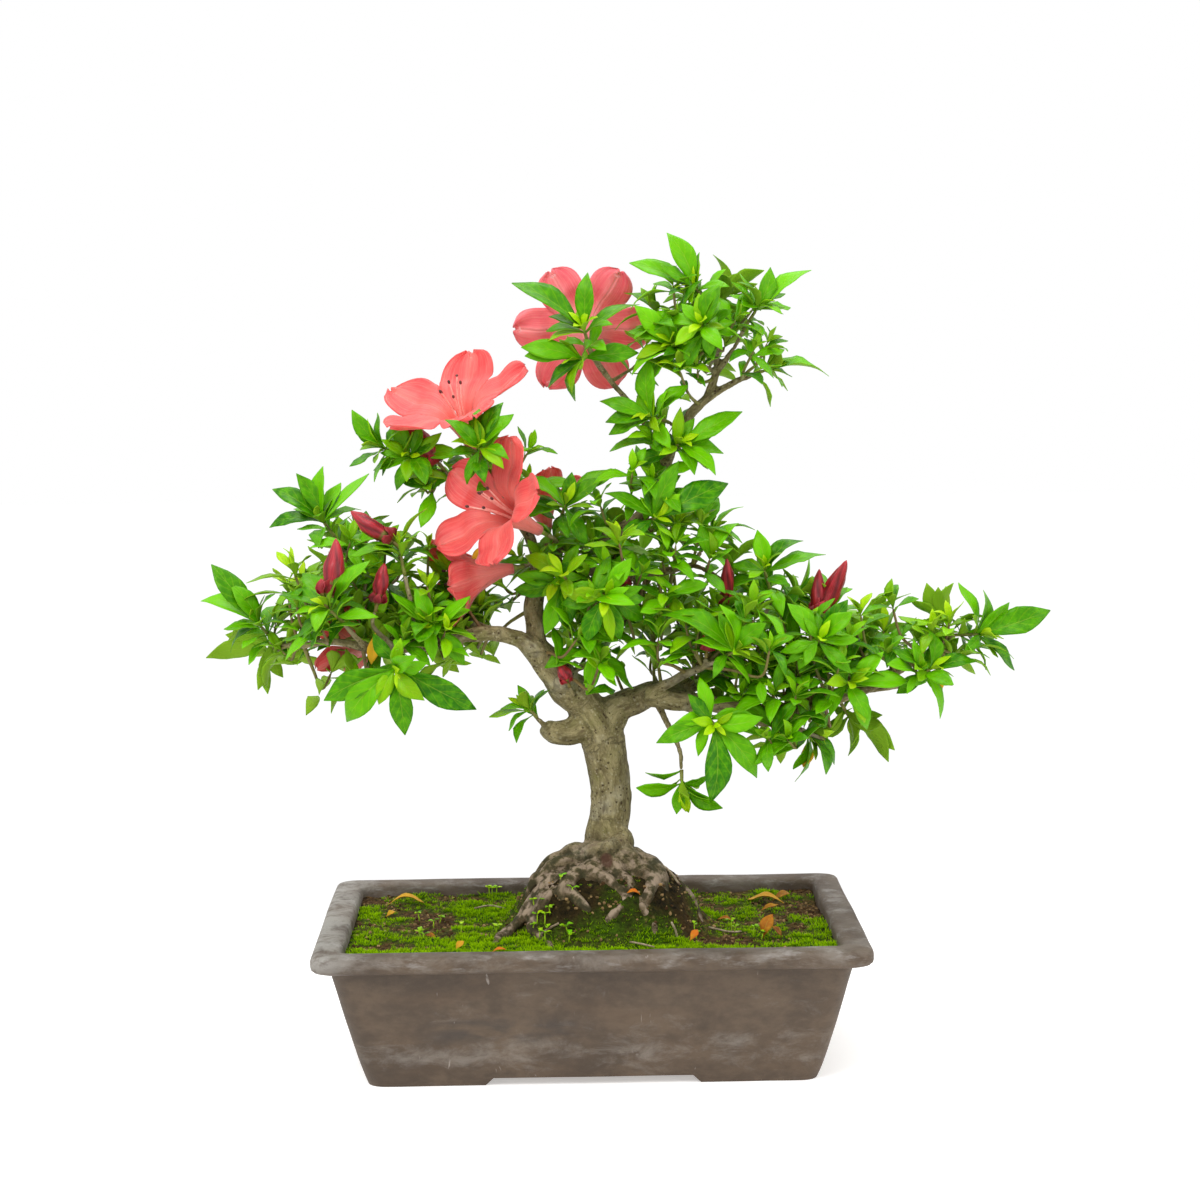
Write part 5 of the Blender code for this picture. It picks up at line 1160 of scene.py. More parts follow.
def thick_limbs():
    """Every limb, root and twig that the wood is made of."""
    limbs = {"trunk": gnarled(TRUNK, "trunk", 0.05, 0.08), "stub": gnarled(STUB, "stub")}
    for name, path in (BRANCHES | LOW_RUNS).items():
        limbs[name] = gnarled(path, name)
    for kind, paths, swell, bend in (("root", ROOTS, 0.3, 0.5), ("knob", ROOT_KNOBS, 0.26, 0.3)):
        for index, path in enumerate(paths):
            laid = [(x, y, soil_height(x, y) + lift, radius) for x, y, lift, radius in path]
            limbs[f"{kind}_{index}"] = gnarled(laid, f"{kind} {index}", swell, bend)
    for name, path in twig_paths().items():
        limbs["twig_" + name] = gnarled(path, name, 0.16, 0.5)
    return limbs


WOOD_VOXEL = 1.05
# How far up the trunk the look of the roots reaches, and above what height no root is looked for
LOW_REACH, LOW_START, ROOTS_END, WELL_ABOVE = 14.0, 1.15, 0.12, 30.0
# Fineness of the bark's ridges across and along a limb, of its lumps and of the roots' knots
RIDGE_ACROSS, RIDGE_ALONG, LUMP_FINENESS, KNOT_FINENESS = 520, 130, 190, 260
RUN_START = 0.013


def make_wood(finish, limbs):
    """Trunk, roots, limbs and twigs grown together, with ridged bark along each of them."""
    bm = bmesh.new()
    for path in limbs.values():
        round_bar(bm, path, sides=12)
    helper = new_object("limbs", new_mesh(bm, "limbs"))
    grown = helper.modifiers.new("grown together", "REMESH")
    grown.mode = "VOXEL"
    grown.voxel_size = WOOD_VOXEL * MM
    grown.adaptivity = 0.0
    soft = helper.modifiers.new("soft", "SMOOTH")
    soft.factor, soft.iterations = 0.5, 4
    wood = evaluated_mesh(helper)
    bpy.data.objects.remove(helper)
    furrow_bark(wood, limbs)
    settle(wood, "bark_and_roots", finish, "bark", "wood")


def limb_samples(limbs):
    """Along each limb: middle, direction, a side that turns with it, the run in metres and the radius."""
    samples = []
    for path in limbs.values():
        run, side = 0.0, None
        for index, point in enumerate(path):
            here = placed(point)
            ahead = placed(path[min(index + 1, len(path) - 1)]) - placed(path[max(index - 1, 0)])
            ahead.normalize()
            side = ahead.orthogonal() if side is None else side - ahead * side.dot(ahead)
            side = side.normalized()
            run += (here - samples[-1][0]).length if index else RUN_START
            samples.append((here, ahead, side, run, point[3]))
    return samples


def furrow_bark(mesh, limbs):
    """Moves the bark in and out along each limb, and writes limb coordinates for its finish."""
    samples = limb_samples(limbs)
    lookup = lookup_of([sample[0] for sample in samples])
    grain = mesh.attributes.new("grain", "FLOAT_VECTOR", "POINT")
    normals = [normal.vector.copy() for normal in mesh.vertex_normals]
    places = [vert.co.copy() for vert in mesh.vertices]
    locals_at, looks = [], []
    for place, normal in zip(places, normals):
        middle, ahead, side, run, radius = samples[lookup.find(place)[1]]
        off = place - middle
        local = Vector((off.dot(side), off.dot(ahead.cross(side)), run + off.dot(ahead)))
        locals_at.extend(local)
        stretched = local * Vector((RIDGE_ACROSS, RIDGE_ACROSS, RIDGE_ALONG))
        ridge = clouds(stretched, ((1.0, 1.0), (0.5, 2.3)))
        amount = (0.1 + 0.004 * min(radius, 8.0)) * ridge + 0.018 * radius * noise.noise(place * LUMP_FINENESS)
        x, y = place.x / MM + OUTLINE_MIDDLE.x, place.y / MM
        above = place.z / MM - soil_height(x, y) - ROOT_BURY if place.z < ROOTS_END else WELL_ABOVE
        low = unit(LOW_START - above / LOW_REACH)
        if low > 0:
            amount += low * 0.5 * noise.noise(place * KNOT_FINENESS)
        place += normal * (amount * MM)
        # The look holds three values. The ridge height drives the painted shade in the furrows. Then comes the
        # nearness to the soil. Last is how much the bark faces up, which drives the painted highlight on the
        # roots.
        looks.extend((unit(0.5 + ridge), low, max(0.0, normal.z), 1.0))
    mesh.vertices.foreach_set("co", [value for place in places for value in place])
    grain.data.foreach_set("vector", locals_at)
    mesh.attributes.new("look", "FLOAT_COLOR", "POINT").data.foreach_set("color", looks)
    mesh.update()


# Pot


def rounded_outline(width, depth, radius):
    """Points round a rectangle with rounded corners, always as many."""
    radius = max(radius, 0.5)
    points = []
    for sign_x, sign_y, start in ((1, 1, 0), (-1, 1, 90), (-1, -1, 180), (1, -1, 270)):
        middle = Vector((sign_x * (width / 2 - radius), sign_y * (depth / 2 - radius)))
        for step in range(CORNER_POINTS + 1):
            turn = math.radians(start + 90 * step / CORNER_POINTS)
            points.append(middle + Vector((math.cos(turn), math.sin(turn))) * radius)
    ring = []
    for index, point in enumerate(points):
        after = points[(index + 1) % len(points)]
        corner = (index + 1) % (CORNER_POINTS + 1) == 0
        count = 1
        if corner:
            count = LONG_POINTS if (index // (CORNER_POINTS + 1)) % 2 == 0 else SHORT_POINTS
        ring += [point.lerp(after, i / count) for i in range(count)]
    return ring


def pot_rings():
    """Width, depth, height and corner of each ring, from the foot over the rim to the floor inside."""
    neck = POT_HEIGHT - RIM_HEIGHT
    rings = []
    for share in [i / 16 for i in range(17)]:
        z = neck * share
        inset = RIM_OVERHANG + FOOT_TAPER * (1 - share)
        ease = 1.2 * (1 - share) ** 8
        rings.append((inset + ease, z, CORNER_RADIUS))
    rings[-1] = (RIM_OVERHANG + 0.2, neck - 0.6, CORNER_RADIUS)
    for inset, below in RIM_LEDGES:
        rings.append((inset, POT_HEIGHT - below, CORNER_RADIUS - 0.25 * inset))
    for share in [i / 12 for i in range(1, 12)]:
        z = neck + (FLOOR_TOP + 3 - neck) * share
        rings.append((HOLLOW_INSET + FOOT_TAPER * (neck - z) / neck, z, 5.0))
    return rings


def pot_cutters():
    """What is cut out of the tray: the recesses between its feet, wider below, and the drain holes."""
    for low, high in (((FRONT_RECESS[0], RIM_DEPTH), (FRONT_RECESS[1], RIM_DEPTH)),
                      ((RIM_WIDTH, SIDE_RECESS[0]), (RIM_WIDTH, SIDE_RECESS[1]))):
        block = bmesh.new()
        bmesh.ops.create_cube(block, size=1.0)
        for vert in block.verts:
            width, depth = high if vert.co.z > 0 else low
            vert.co = placed((vert.co.x * width, vert.co.y * depth, FOOT_RECESS if vert.co.z > 0 else -2.0))
        yield block
    for x in (-DRAIN_X, DRAIN_X):
        hole = bmesh.new()
        bmesh.ops.create_cone(hole, cap_ends=True, segments=40, radius1=DRAIN_RADIUS * MM,
                              radius2=DRAIN_RADIUS * MM, depth=0.03)
        bmesh.ops.translate(hole, verts=hole.verts, vec=placed((x, 0, FLOOR_TOP - 8)))
        yield hole


def make_pot(finish):
    """The tray: rounded corners and edges, a slightly uneven hand-pressed wall, feet and drain holes."""
    bm = bmesh.new()
    loops = []
    for inset, z, corner in pot_rings():
        ring = rounded_outline(RIM_WIDTH - 2 * inset, RIM_DEPTH - 2 * inset, corner)
        verts = [bm.verts.new(placed((p.x, p.y, z))) for p in ring]
        loops.append([bm.edges.new((a, b)) for a, b in zip(verts, verts[1:] + verts[:1])])
    for below, above in zip(loops, loops[1:]):
        bmesh.ops.bridge_loops(bm, edges=below + above)
    for end in (loops[0], loops[-1]):
        bmesh.ops.contextual_create(bm, geom=end)
    bmesh.ops.recalc_face_normals(bm, faces=bm.faces)
    for vert in bm.verts:
        vert.co += vert.normal * (clouds(vert.co, ((0.35, 28), (0.12, 110))) * MM)
        vert.co.z = max(vert.co.z, 0.0)
    pot = new_object("pot", new_mesh(bm, "pot"))
    for block in pot_cutters():
        cutter = new_object("cutter", new_mesh(block, "cutter"))
        trim = pot.modifiers.new("cut", "BOOLEAN")
        trim.object, trim.solver = cutter, "EXACT"
        pot.data = evaluated_mesh(pot)
        pot.modifiers.clear()
        bpy.data.objects.remove(cutter)
    mesh = pot.data
    bpy.data.objects.remove(pot)
    settle(mesh, "stoneware_pot", finish, "pot", "pot")
    mesh.set_sharp_from_angle(angle=math.radians(40))


# Soil, moss and grit


def mossy(x, y):
    """How much moss grows at a place, from 0 to 1."""
    root_heap = heap(x, y)
    share = 0.76 + patches(x, y, MOSS_PATCHES) * (1.3 - 0.75 * root_heap) - 0.82 * root_heap
    (left, behind), thinner = MOSS_LEFT
    if x < left and y > behind:
        share -= thinner
    if x > MOSS_RIGHT[0]:
        share -= MOSS_RIGHT[1]
    if y < MOSS_FRONT[0]:
        share += MOSS_FRONT[1]
    return unit(share)


def heap(x, y):
    """How near a place is to the heap of soil round the roots, from 0 to 1."""
    far = math.hypot((x - HEAP_CENTRE[0]) / HEAP_SPREAD[0], (y - HEAP_CENTRE[1]) / HEAP_SPREAD[1])
    return unit((1.0 - far - patches(x, y, HEAP_EDGE)) * HEAP_STEEPNESS)


def crumbs(x, y):
    """Relief of the soil above its plain surface, in millimetres."""
    here = Vector((x, y, 0.0))
    raised = heap(x, y) * (clouds(here, HEAP_LUMPS) + ROOT_BURY)
    return clouds(here, SOIL_GRAIN) + raised + (CUSHION_RISE + clouds(here, CUSHIONS)) * mossy(x, y)


def ground(x, y, lift=0.0):
    """A point of the soil's surface with all its relief."""
    return Vector((x, y, soil_height(x, y) + crumbs(x, y) + lift))


def inner_size(z):
    neck = POT_HEIGHT - RIM_HEIGHT
    inset = HOLLOW_INSET + FOOT_TAPER * (neck - z) / neck
    return RIM_WIDTH - 2 * inset, RIM_DEPTH - 2 * inset


def make_soil(finish):
    """Crumbly soil in the pot, level at the rim and heaped at the roots."""
    width, depth = inner_size(SOIL_LEVEL - 1)
    bm = new_bmesh()
    look = bm.verts.layers.float_color["look"]
    bmesh.ops.create_grid(bm, x_segments=SOIL_CELLS[0], y_segments=SOIL_CELLS[1], size=0.5)
    corner = 5.0
    for vert in bm.verts:
        x, y = vert.co.x * width, vert.co.y * depth
        out_x, out_y = abs(x) - (width / 2 - corner), abs(y) - (depth / 2 - corner)
        if out_x > 0 and out_y > 0:
            reach = math.hypot(out_x, out_y)
            keep = min(1.0, corner / reach) if reach else 1.0
            x = math.copysign(width / 2 - corner + out_x * keep, x)
            y = math.copysign(depth / 2 - corner + out_y * keep, y)
        vert.co = placed((x, y, soil_height(x, y) + crumbs(x, y)))
        vert[look] = (mossy(x, y), heap(x, y), 0.0, 1.0)
    rim = [edge for edge in bm.edges if edge.is_boundary]
    grown = bmesh.ops.extrude_edge_only(bm, edges=rim)
    lower = [item for item in grown["geom"] if isinstance(item, bmesh.types.BMVert)]
    shrink = [small / wide for small, wide in zip(inner_size(SOIL_FOOT), inner_size(SOIL_LEVEL))]
    for vert in lower:
        middle = placed((0, 0, 0))
        off = vert.co - middle
        vert.co = middle + Vector((off.x * shrink[0], off.y * shrink[1], SOIL_FOOT * MM))
    foot = [item for item in grown["geom"] if isinstance(item, bmesh.types.BMEdge)]
    bmesh.ops.contextual_create(bm, geom=foot)
    bmesh.ops.recalc_face_normals(bm, faces=bm.faces)
    settle(bm, "soil_bed", finish, "soil", "soil")


def tuft_blank(seed):
    """A tuft of small leaning spikes, one high. 'look' z runs from its foot to its tips."""
    draw = random.Random(seed)
    bm = new_bmesh()
    look = bm.verts.layers.float_color["look"]
    for number in range(MOSS_BLADES):
        made = bmesh.ops.create_cone(bm, cap_ends=True, cap_tris=True, segments=3, radius1=0.19, radius2=0.0,
                                     depth=1.0)
        around = 2 * math.pi * number / MOSS_BLADES + draw.uniform(-0.4, 0.4)
        lean = draw.uniform(0.15, 0.75)
        tall = draw.uniform(0.65, 1.0)
        for vert in made["verts"]:
            high = vert.co.z + 0.5
            vert[look] = (0.0, 0.0, high, 1.0)
            foot = Vector((vert.co.x * 0.8, vert.co.y * 0.8, high * tall - 0.12))
            vert.co = foot + spoke(around) * (0.35 + lean * high * tall)
    return new_mesh(bm, "tuft")


def pebble_blank(seed):
    draw = random.Random(seed)
    bm = new_bmesh()
    bmesh.ops.create_icosphere(bm, subdivisions=1, radius=0.5)
    look = bm.verts.layers.float_color["look"]
    for vert in bm.verts:
        vert.co *= draw.uniform(0.75, 1.15)
        vert.co.z *= 0.7
        vert[look] = (0.0, 0.0, 0.0, 1.0)
    return new_mesh(bm, "pebble")


def soil_places(draw, count, margin, stays_bare):
    """Random places on the soil, with their share of moss, as many as asked."""
    width, depth = inner_size(SOIL_LEVEL)
    while count:
        x, y = draw.uniform(-width / 2, width / 2), draw.uniform(-depth / 2, depth / 2)
        share = mossy(x, y)
        if stays_bare(draw.random(), share) or abs(x) >= width / 2 - margin or abs(y) >= depth / 2 - margin:
            continue
        count -= 1
        yield x, y, share


def strew(bm, blank, foot, turn, scale, tone):
    """Adds a copy of a small blank, scaled and turned on its foot."""

    def shape(one, look):
        for vert in one.verts:
            vert.co = placed(foot + turn @ (vert.co * Vector(scale)))
            vert[look] = (tone, 0.0, vert[look][2], 1.0)

    add_copy(bm, blank, shape)


def make_moss(finish):
    """Moss in tufts, thick where it grows well and thin on bare soil."""
    draw = random.Random("moss")
    blanks = [tuft_blank(seed) for seed in range(4)]
    bm = new_bmesh()
    for x, y, share in soil_places(draw, MOSS_TUFTS, 0.8, lambda roll, share: roll > share ** 1.5 + 0.02):
        tall = draw.uniform(1.0, 2.4) * (0.55 + 0.6 * share)
        wide = tall * draw.uniform(1.0, 1.45)
        turn = Matrix.Rotation(draw.uniform(0, 6.28), 3, "Z")
        shade = 0.9 * patches(x, y, MOSS_SHADES) - 0.7 * heap(x, y)
        tone = unit(0.55 + shade + draw.uniform(-0.3, 0.3))
        strew(bm, draw.choice(blanks), ground(x, y), turn, (wide, wide, tall), tone)
    settle(bm, "moss", finish, "soil", smooth=False)


def make_grit(finish):
    """Clay grains and crumbs of bark between the moss."""
    draw = random.Random("grit")
    blanks = [pebble_blank(seed) for seed in range(3)]
    bm = new_bmesh()
    for x, y, _ in soil_places(draw, GRAINS, 1.5, lambda roll, share: roll < share * 1.1):
        size = draw.uniform(0.7, 2.3) * (1.25 if draw.random() < 0.1 else 1.0)
        turn = Matrix.Rotation(draw.uniform(0, 6.28), 3, draw.choice("XYZ"))
        tone = draw.random() ** 1.6
        strew(bm, draw.choice(blanks), ground(x, y, size * 0.12), turn, (size, size, size), tone)
    settle(bm, "clay_grains", finish, "soil", smooth=False)


# Blooms and buds


def look_along(direction, turn):
    return direction.to_track_quat("Z", "Y").to_matrix().to_4x4() @ Matrix.Rotation(math.radians(turn), 4, "Z")


def petal_half_width(share, reach, petals):
    """Half the width of a petal, as in the source."""
    neck = MOUTH_RADIUS * math.sin(math.pi / petals)
    widest = PETAL_HALF_WIDTH * reach
    if share < PETAL_WIDEST:
        return neck + (widest - neck) * math.sin(share / PETAL_WIDEST * math.pi / 2)
    past = (share - PETAL_WIDEST) / (1.0 - PETAL_WIDEST)
    return widest * math.sqrt(max(0.0, 1.0 - past ** 2.4))


def tube_length(name):
    foot, mouth = Vector(BLOOMS[name][2]), Vector(BLOOMS[name][3])
    return (mouth - foot).length - STALK


def add_petals(bm, name):
    """Adds a bloom's tube and its ruffled petals, which overlap at their sides."""
    turn, flare, petals, reach = BLOOMS[name][4:]
    foot, axis = bloom_axis(name)
    tube = tube_length(name)
    place = look_along(axis, turn)
    base = foot + axis * STALK
    draw = random.Random(name)
    for which in range(petals):
        angle = 2 * math.pi * which / petals
        outward = spoke(angle)
        side = Vector((-math.sin(angle), math.cos(angle), 0))
        phase, frill = draw.uniform(0, 6.28), draw.uniform(0.9, 1.5)
        shift = Vector((draw.uniform(0, 9), draw.uniform(0, 9), 0))
        bow = draw.uniform(-2.2, 1.2)
        level = 0.35 * (which % 2) - 0.15

        def point(across, along):
            if along < TUBE_SHARE:
                share = along / TUBE_SHARE
                radius = TUBE_RADIUS + (MOUTH_RADIUS - TUBE_RADIUS) * share ** 1.6
                around = angle + across * math.pi / petals * 1.02
                return Vector((radius * math.cos(around), radius * math.sin(around), tube * share))
            share = (along - TUBE_SHARE) / (1 - TUBE_SHARE)
            bend = math.radians(flare) * min(1.0, 0.35 + share * 1.25)
            radius = MOUTH_RADIUS + reach * share * math.sin(bend)
            height = tube + reach * share * math.cos(bend)
            half = petal_half_width(min(share, 0.995), reach, petals)
            edge = abs(across)
            sag = 0.16 * half * across * across
            crease = -0.9 * math.exp(-(across / 0.09) ** 2) * math.sin(math.pi * min(1.0, share * 1.2))
            ruffle = frill * math.sin(phase + share * 8.0 + across * 2.2) * edge ** 2.2 * min(1.0, 2.2 * share)
            ruffle += 0.8 * frill * math.sin(phase * 2 + across * 7.0) * share ** 5
            cloud = noise.noise(Vector((across * 1.9, share * 2.6, 0)) + shift) * 1.2 * share
            lift = sag + crease + ruffle + cloud + bow * share * share + level * share
            notch = 1.0 - 0.035 * math.exp(-(across / 0.3) ** 2) * (share > 0.9)
            return (outward * (radius * notch - lift * math.cos(bend)) + side * half * across
                    + Vector((0, 0, height + lift * math.sin(bend))))

        def shape(one, look):
            for vert in one.verts:
                across, along = vert.co.x * 2, vert.co.y
                here = point(across, along)
                east = point(across + 0.02, along) - point(across - 0.02, along)
                north = point(across, min(1.0, along + 0.01)) - point(across, max(0.0, along - 0.01))
                face = east.cross(north)
                face = face.normalized() if face.length > 1e-9 else Vector((0, 0, 1))
                here += face * ((0.5 - vert[look][1]) * PETAL_THICK)
                vert.co = placed(base + place @ here)
                vert[look] = (0.0, 0.0, 0.0, 1.0)

        add_copy(bm, PETAL_BLANK, shape)
    bmesh.ops.recalc_face_normals(bm, faces=bm.faces)


def add_bloom_stalk(bm, name):
    """The stalk of a bloom, with the small cup it sits in."""
    foot, axis = bloom_axis(name)
    stops = ((-1, 1.1), (2.5, 1.3), (4.5, 2.2), (6.5, 2.6))
    add_stem(bm, [(*(foot + axis * way), radius) for way, radius in stops], 0.9)


def make_bloom(name, finish):
    bm = new_bmesh()
    add_petals(bm, name)
    settle(bm, "petals_" + name, finish, "petal", name)


def make_stamens(filament, anther):
    """Pale filaments that bow out of the throat, dark anthers, and a longer style."""
    threads, knobs = new_bmesh(), new_bmesh()
    for name in WITH_STAMENS:
        foot, axis = bloom_axis(name)
        place = look_along(axis, BLOOMS[name][4]).to_3x3()
        draw = random.Random(name + " stamens")
        for number in range(6):
            around = number * 2 * math.pi / 5 + draw.uniform(-0.3, 0.3)
            sideways = place @ spoke(around)
            start = foot + axis * STALK + sideways * 0.9
            long = tube_length(name) + (14 if number < 5 else 20) + draw.uniform(0, 6)
            middle = start + axis * (long * 0.6) + sideways * draw.uniform(1.0, 2.2)
            end = start + axis * long + sideways * draw.uniform(3.5, 6.5)
            round_bar(threads, flowing([(*start, 0.5), (*middle, 0.45), (*end, 0.36)], 2.0))
            knob = bmesh.ops.create_uvsphere(knobs, u_segments=10, v_segments=6, radius=1.0)["verts"]
            size = Vector((0.75, 0.75, 1.15)) if number < 5 else Vector((0.8, 0.8, 0.6))
            turned = (end - middle).normalized().to_track_quat("Z", "Y").to_matrix()
            for vert in knob:
                vert.co = placed(end + turned @ (vert.co * size))
    settle(threads, "stamen_threads", filament, "petal")
    settle(knobs, "stamen_knobs", anther, "petal")


BUD_PROFILE = ((0.0, 0.20), (0.05, 0.24), (0.1, 0.42), (0.17, 0.72), (0.28, 0.92), (0.42, 1.0), (0.56, 0.96),
               (0.7, 0.82), (0.82, 0.6), (0.92, 0.34), (0.98, 0.15), (1.0, 0.04))


def add_bud(bm, foot, heading, tip, radius, draw):
    """Adds a bud on its stalk: petals folded round each other in a twist, above small scales."""
    knee = foot + heading * 1.5
    body = tip - knee
    length = body.length
    axis = body.normalized()
    add_stem(bm, [(*foot, 0.95), (*knee, 0.95), (*(knee + body * 0.2), 1.2)], 0.6)
    turned = axis.to_track_quat("Z", "Y").to_matrix()
    start = knee + body * 0.12
    reach = (tip - start).length
    one = new_bmesh()
    bmesh.ops.create_uvsphere(one, u_segments=30, v_segments=24, radius=1.0)
    blade, look = one.verts.layers.float_vector["blade"], one.verts.layers.float_color["look"]
    bend = draw.uniform(-0.07, 0.07) * length
    shift = Vector([draw.uniform(0, 50) for _ in range(3)])
    for vert in one.verts:
        share = 1 - math.acos(max(-1.0, min(1.0, vert.co.z))) / math.pi
        around = math.atan2(vert.co.y, vert.co.x)
        spiral = around + share * 1.5
        fold = 0.5 + 0.5 * math.cos(spiral * 5)
        ridge = 1.0 + 0.13 * (fold ** 0.6 - 0.5) * math.sin(math.pi * min(1.0, share * 1.1))
        lump = 1.0 + 0.22 * noise.noise(vert.co * 1.6 + shift)
        size = table(BUD_PROFILE, share) * radius * ridge * lump
        place = Vector((math.cos(around) * size, math.sin(around) * size, share * reach))
        place += Vector((bend * math.sin(math.pi * share), 0, 0))
        vert[blade] = (around / 6.2832 + 0.5, share, 0.0)
        # The depth in the furrows between the folds, which the bud's finish darkens as painted shade
        vert[look] = ((1 - fold) ** 2.5, 0.0, 0.0, 1.0)
        vert.co = placed(start + turned @ place)
    pour(one, bm)
    for number in range(6):
        around = number * 1.047 + draw.uniform(-0.2, 0.2)
        out = turned @ spoke(around)
        root = start + out * radius * 0.25 - axis * 0.5
        point = start + axis * reach * draw.uniform(0.2, 0.3) + out * radius * 0.98
        add_leaf(bm, root, point, (out + axis * 0.2).normalized(), 0.75, draw, thick=0.25, arch=0.12)


def make_bud(name, finish):
    foot, heading = bud_foot(name)
    draw = random.Random(name)
    bm = new_bmesh()
    for tip, radius in BUDS[name][3]:
        add_bud(bm, foot, heading, Vector(tip), radius, draw)
    settle(bm, "petals_" + name, finish, "bud", name)


# Fallen leaves, twigs and seedlings

# Each fallen leaf: its middle, its turn in degrees, its length and its width
FALLEN = {
    "fallen_leaf_left": ((-97, 52), 10, 19.0, 7.0),
    "fallen_leaf_right": ((94, 44), 160, 20.0, 8.0),
}


def make_litter(finish):
    """The dry leaves on the soil."""
    for name, (middle, turn, length, width) in FALLEN.items():
        half = spoke(math.radians(turn)) * length / 2
        root, tip = Vector((*middle, 0)) - half, Vector((*middle, 0)) + half
        for end in (root, tip):
            end.z = soil_height(end.x, end.y) + 1.5
        bm = new_bmesh()
        add_leaf(bm, root, tip, Vector((0, 0, 1)), width / length, random.Random(name), arch=0.12)
        settle(bm, "dry_" + name, finish, "fallen_leaf", name)


# Dry leaves that lie about: root, tip, how high each end is, breadth over length, tone, orange
DRY_LEAVES = (
    ((-2, -17, 0.5), (5, -19, 3.0), 0.42, 0.4, 1.0), ((98, 50, 0.5), (108, 56, 2.5), 0.36, 0.1, 0.0),
    ((90, 27, 0.5), (99, 24, 3.5), 0.4, 0.2, 0.1), ((86, -38, 1.0), (91, -35, 12.0), 0.52, 0.1, 0.2),
    ((95, -37, 0.5), (90, -40, 8.0), 0.5, 0.0, 0.0), ((49, -46, 0.5), (53, -43, 7.0), 0.5, 0.3, 0.7),
    ((18, -30, 0.5), (25, -31, 2.0), 0.42, 0.3, 0.8), ((-67, -52, 0.5), (-63, -50, 5.5), 0.55, 0.7, 0.1),
    ((-49, -58, 0.5), (-42, -58, 1.5), 0.3, 0.4, 0.8), ((-106, 25, 0.5), (-101, 27, 2.5), 0.6, 0.6, 0.0),
    ((66, 6, 0.5), (73, 2, 2.0), 0.4, 0.0, 0.2), ((-84, -20, 0.5), (-78, -24, 1.5), 0.4, 0.0, 0.1),
)
YELLOW_LEAVES = (((181, 0, 193), (178, -3, 182), 0.4), ((112, -4, 160), (109, -8, 146), 0.42),
                 ((-104, -44, 222), (-106, -47, 207), 0.4), ((-50, -20, 262), (-57, -26, 256), 0.4))
# Twigs that lie or stand on the moss: each point with its height above the soil, and the twig's radius
LOOSE_TWIGS = (
    ((-26, -38, 1.5), (-21, -38, 2.0), (-16, -37, 1.2), 0.6), ((43, -41, -1), (42, -42, 4), (40, -43, 8), 0.55),
    ((19, -50, 0.8), (25, -53, 2.0), (31, -54, 1.0), 0.5), ((20, 8, 3), (38, -2, 4), (46, -8, 1), 0.6),
    ((60, -20, 1), (70, -26, 1.5), (76, -24, 1), 0.5), ((-60, 30, 1), (-52, 34, 2), (-44, 33, 1), 0.5),
)
# Seedlings: the middle of each patch, how far it reaches, how many
SEEDLING_PATCHES = (((-18, -34), (12, 12), 13), ((70, -30), (26, 18), 7), ((-74, -10), (30, 26), 7),
                    ((-51, 70), (3, 2), 3))


def make_strewn_leaves(finish):
    """Dry leaves on the soil and the few that turned yellow on the tree."""
    bm = new_bmesh()
    draw = random.Random("strewn")
    for root, tip, width, tone, orange in DRY_LEAVES:
        start, end = ground(*root), ground(*tip)
        add_leaf(bm, start, end, Vector((0.1, -0.5, 1)), width, draw, orange, arch=0.14, tone=tone)
    for root, tip, width in YELLOW_LEAVES:
        add_leaf(bm, Vector(root), Vector(tip), Vector((0.2, -1, 0.3)), width, draw, tone=1.0)
    settle(bm, "strewn_leaves", finish, "fallen_leaf")


def make_loose_twigs(finish):
    bm = new_bmesh()
    for *path, radius in LOOSE_TWIGS:
        round_bar(bm, flowing([(*ground(*point), radius) for point in path], 2.0))
    settle(bm, "loose_twigs", finish, "soil")


def make_seedlings(finish):
    """Seedlings with small round leaves in pairs, and a pale sprig at the wall behind."""
    bm = new_bmesh()
    draw = random.Random("seedlings")
    for middle, reach, count in SEEDLING_PATCHES:
        for _ in range(count):
            x, y = [at + draw.uniform(-far, far) for at, far in zip(middle, reach)]
            foot = ground(x, y, -0.5)
            top = foot + Vector((draw.uniform(-1, 1), draw.uniform(-1, 1), draw.uniform(3.0, 6.0)))
            round_bar(bm, [(*foot, 0.34), (*top, 0.3)], sides=6)
            turn = draw.uniform(0, 3.14)
            for number in range(draw.choice((2, 4))):
                around = turn + number * math.pi / (1 if number < 2 else 2)
                out = spoke(around, draw.uniform(0.1, 0.6)) * draw.uniform(2.0, 3.6)
                add_leaf(bm, top, top + out, Vector((0, 0, 1)), 0.68, draw, draw.random(), SMALL_LEAF_BLANK)
    settle(bm, "seedlings", finish, "soil")


# Light, floor and camera


def make_lamp(name, place, at, size, power):
    data = bpy.data.lights.new(name, "AREA")
    data.size = size
    data.energy = power
    lamp = new_object(name, data)
    lamp.location = place
    lamp.rotation_mode = "QUATERNION"
    lamp.rotation_quaternion = (Vector(at) - Vector(place)).to_track_quat("-Z", "Y")


def make_camera():
    right = Vector((math.cos(CAMERA_YAW), -math.sin(CAMERA_YAW), 0))
    above = right.cross(VIEW_AHEAD)
    cos, sin = math.cos(CAMERA_ROLL), math.sin(CAMERA_ROLL)
    turned = Matrix((right * cos + above * sin, above * cos - right * sin, -VIEW_AHEAD)).transposed()
    data = bpy.data.cameras.new("camera")
    data.lens, data.sensor_width = CAMERA_LENS, CAMERA_SENSOR
    camera = new_object("camera", data)
    place = placed(CAMERA_TARGET) - VIEW_AHEAD * CAMERA_DISTANCE
    camera.matrix_world = Matrix.Translation(place) @ turned.to_4x4()
    bpy.context.scene.camera = camera


